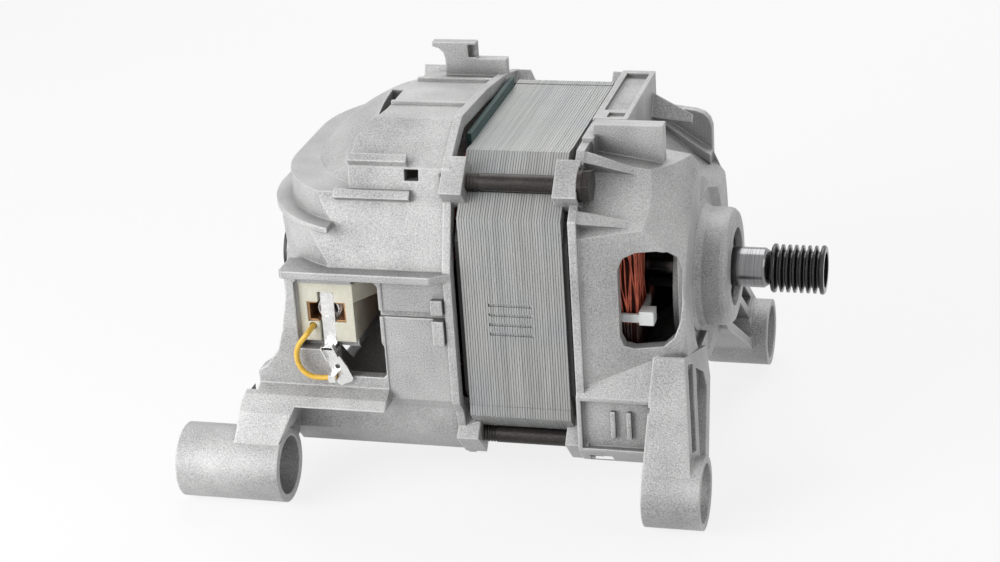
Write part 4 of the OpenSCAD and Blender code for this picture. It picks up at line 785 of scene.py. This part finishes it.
# Brush gear: a cream moulded holder in each side window, a brass guide, the carbon brush on its coil spring,
# and a tinned strip over the spring whose spade takes the wiring. A yellow lead runs out of the
# holder to a crimp on the spade.
cream = grained("cream_holder", dark=(0.56, 0.53, 0.43), light=(0.72, 0.69, 0.58), worn=(0.8, 0.78, 0.68),
                grain=0.5 * mm, patch=7 * mm, rough=(0.35, 0.5), bump=0.12, edge=0.4 * mm,
                Subsurface_Weight=0.05)
wear(cream, "brush_holder_near", "brush_holder_far")
guide = grained("brass_guide", dark=(0.30, 0.15, 0.07), light=(0.60, 0.36, 0.18), worn=(0.75, 0.55, 0.35),
                grain=0.6 * mm, patch=5 * mm, rough=(0.25, 0.45), bump=0.15, edge=0.2 * mm, metallic=0.9)
wear(guide, "brush_guide_near", "brush_guide_far")
graphite = grained("carbon_graphite", dark=(0.02, 0.02, 0.021), light=(0.06, 0.06, 0.062),
                   worn=(0.12, 0.12, 0.12), grain=0.25 * mm, patch=4 * mm, rough=(0.35, 0.55), bump=0.3,
                   edge=0.2 * mm, metallic=0.2)
wear(graphite, "carbon_brush_near", "carbon_brush_far")
tinned = grained("tinned_strip", dark=(0.66, 0.66, 0.655), light=(0.84, 0.84, 0.83), worn=(0.92, 0.92, 0.92),
                 grain=2.2 * mm, patch=4 * mm, rough=(0.14, 0.3), bump=0.9, edge=0.25 * mm, metallic=0.85)
spring_steel = turned_metal("spring_wire_steel", (0.55, 0.55, 0.56), (0.80, 0.80, 0.82), 0.4 * mm,
                            (0.2, 0.35), metallic=0.7)

brush_low, brush_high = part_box("carbon_brush_near")
brush_x = (brush_low.x + brush_high.x) / 2
spring_low, spring_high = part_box("brush_spring_near")
spring_wire = 0.8 * mm
spring_r = (spring_high.z - spring_low.z - spring_wire) / 2
spring_turns, spring_steps = 5, 32
spring_points = spring_turns * spring_steps
for side, flip in (("near", 1), ("far", -1)):
    points = []
    y0, y1 = spring_low.y + spring_wire / 2, spring_high.y - spring_wire / 2
    for k in range(spring_points + 1):
        a = 2 * math.pi * k / spring_steps
        points.append(Vector((brush_x + spring_r * math.cos(a), flip * (y0 + (y1 - y0) * k / spring_points),
                              spring_r * math.sin(a))))
    wound = wire("spring_" + side, [points], spring_wire, sides=10, finish=spring_steel)
    coil = piece("spring_" + side, wound, "housing", "spring_steel", "brush_spring_" + side)
    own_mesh(coil)

strip_low, strip_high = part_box("brush_terminal_near")
strip_t, strip_half, strip_round = 0.8 * mm, 2.45 * mm, 1.6 * mm
strip_foot = -13 * mm
strip_back = spring_low.y - 0.02 * mm
boss_z, boss_r, boss_high = -3.6 * mm, 1.7 * mm, 0.25 * mm
spade_t, spade_face = 0.9 * mm, strip_low.y
spade_neck, spade_half, spade_toe = 2.4 * mm, 3.1 * mm, 2.2 * mm
neck_top, neck_end, spread_end, corner_z, spade_end = (z * mm for z in (1.4, -3.6, -8.5, -13.1, -14))
hole_z, hole_r = -7 * mm, 0.9 * mm
ear_t, ear_high, ear_top = 0.45 * mm, 1.3 * mm, 1.2 * mm
crimp_x0, crimp_x1, crimp_z0, crimp_z1 = 0.6 * mm, 3.2 * mm, -24 * mm, -21.25 * mm
crimp_high = 2.9 * mm


def arc(x, z, radius, start, end, steps):
    """Points of an arc in X and Z between two angles in degrees."""
    turns = [math.radians(start + (end - start) * i / steps) for i in range(steps + 1)]
    return [(x + radius * math.cos(a), z + radius * math.sin(a)) for a in turns]


def disc(x, z, radius, sides):
    """Points of a whole disc in X and Z."""
    return arc(x, z, radius, 0, 360 - 360 / sides, sides - 1)


def rectangle(x0, x1, z0, z1):
    """Corners of a rectangle in X and Z."""
    return [(x0, z0), (x1, z0), (x1, z1), (x0, z1)]


def facing_out(loops, thick, back, turn=0.0, shift=0.0, height=0.0):
    """A tinned plate in X and Z whose thickness grows outwards from its back in Y."""
    made = plate("strip_plate", loops, thick)
    lie = Matrix(((0, 1, 0, 0), (-1, 0, 0, 0), (0, 0, 1, 0), (0, 0, 0, 1)))
    made.transform(Matrix.Translation((brush_x, back, height)) @ Matrix.Rotation(turn, 4, "Y")
                   @ Matrix.Translation((shift, 0, 0)) @ lie)
    made.materials.append(tinned)
    return made


at_spade = {"turn": math.radians(-24), "shift": 0.6 * mm, "height": strip_foot}
strip_line = [(-strip_half, strip_foot), (strip_half, strip_foot)] \
    + arc(strip_half - strip_round, strip_high.z - strip_round, strip_round, 0, 90, 6) \
    + arc(strip_round - strip_half, strip_high.z - strip_round, strip_round, 90, 180, 6)
spade_left = [(-spade_neck, neck_top), (-spade_neck, neck_end), (-spade_half, spread_end),
              (-spade_half, corner_z), (-spade_toe, spade_end)]
spade_line = spade_left + [(-x, z) for x, z in reversed(spade_left)]
foot_line = rectangle(-strip_half, strip_half, strip_foot, strip_foot + strip_t)
strip_parts = [
    facing_out([strip_line], strip_t, strip_back),
    facing_out([disc(0, boss_z, boss_r, 24)], boss_high, strip_back - strip_t),
    facing_out([foot_line], strip_back - spade_face, strip_back),
    facing_out([spade_line, disc(0, hole_z, hole_r, 16)], spade_t, spade_face + spade_t, **at_spade),
]
for x in (-spade_neck, spade_neck - ear_t):
    ear = rectangle(x, x + ear_t, neck_end, ear_top)
    strip_parts.append(facing_out([ear], ear_high, spade_face, **at_spade))
for z in (crimp_z0, crimp_z1 - ear_t):
    strip_parts.append(facing_out([rectangle(crimp_x0, crimp_x1, z, z + ear_t)], crimp_high, spade_face))
crimp_line = rectangle(crimp_x0, crimp_x1, crimp_z0, crimp_z1)
strip_parts.append(facing_out([crimp_line], ear_t, spade_face - crimp_high))
for side, flip in (("near", 1), ("far", -1)):
    strip = joined("strip_" + side, strip_parts)
    if flip < 0:
        strip.transform(Matrix.Diagonal((1, flip, 1, 1)))
        strip.flip_normals()
    piece("terminal_strip_" + side, strip, "housing", "tinned_terminal", "brush_terminal_" + side)

lead_yellow, tree, shader, at = material("yellow_sleeve")
cloud = put(tree, "ShaderNodeTexNoise", Vector=at, Scale=700.0, Detail=3.0)
sleeve = mixed(tree, cloud.outputs["Fac"], (0.62, 0.34, 0.03), (0.90, 0.60, 0.10))
tree.links.new(sleeve, shader.inputs["Base Color"])
dull = put(tree, "ShaderNodeMapRange", Value=cloud.outputs["Fac"], To_Min=0.32, To_Max=0.55)
tree.links.new(dull.outputs[0], shader.inputs["Roughness"])
weave = put(tree, "ShaderNodeBump", Strength=0.2, Distance=0.1 * mm, Height=cloud.outputs["Fac"])
tree.links.new(weave.outputs[0], shader.inputs["Normal"])

# The lead's route from the holder round to the crimp, in millimetres from the brush in X
lead_d = 1.9 * mm
lead_y = -60.67
lead_start = -52.4
lead_knots = [
    (-5.4, lead_start, -5.4), (-5.4, lead_start - 3, -5.4), (-5.5, lead_start - 5.4, -5.6),
    (-6.2, lead_y + 0.5, -6.6), (-7.6, lead_y, -8.2), (-9.4, lead_y, -10.6), (-10.5, lead_y, -13.4),
    (-10.6, lead_y, -16.4), (-9.7, lead_y, -19.2), (-7.8, lead_y, -21.4), (-5.2, lead_y, -22.6),
    (-2.4, lead_y, -22.8), (0.4, lead_y, -22.6), (3, lead_y, -22.4),
]


def through(knots, steps):
    """Points of a smooth curve through knots."""
    ends = [2 * knots[0] - knots[1]] + knots + [2 * knots[-1] - knots[-2]]
    points = []
    for a, b, c, d in zip(ends, ends[1:], ends[2:], ends[3:]):
        for i in range(steps):
            t = i / steps
            points.append(0.5 * (2 * b + (c - a) * t + (2 * a - 5 * b + 4 * c - d) * t ** 2
                                 + (3 * b - a - 3 * c + d) * t ** 3))
    return points + [knots[-1]]


for side, flip in (("near", 1), ("far", -1)):
    knots = [Vector((brush_x + x * mm, flip * y * mm, z * mm)) for x, y, z in lead_knots]
    points = through(knots, 4)
    sleeved = wire("lead_" + side, [points], lead_d, sides=14, finish=lead_yellow)
    lead = piece("lead_" + side, sleeved, "housing", "lead_insulation", "brush_lead_" + side)


# Terminal block: a black moulded socket, let into the far wall of the rear shield, with six tinned pins for
# the wiring plug. The mould leaves it matt and a little paler along its edges.
block_black = grained("black_block_plastic", dark=(0.010, 0.010, 0.011), light=(0.03, 0.03, 0.032),
                      worn=(0.06, 0.06, 0.06), grain=0.4 * mm, patch=9 * mm, rough=(0.35, 0.55), bump=0.15,
                      edge=0.4 * mm)
wear(block_black, "terminal_block")
wear(tinned, "terminal_pins")


# Bring the scene up to date
bpy.context.view_layer.update()
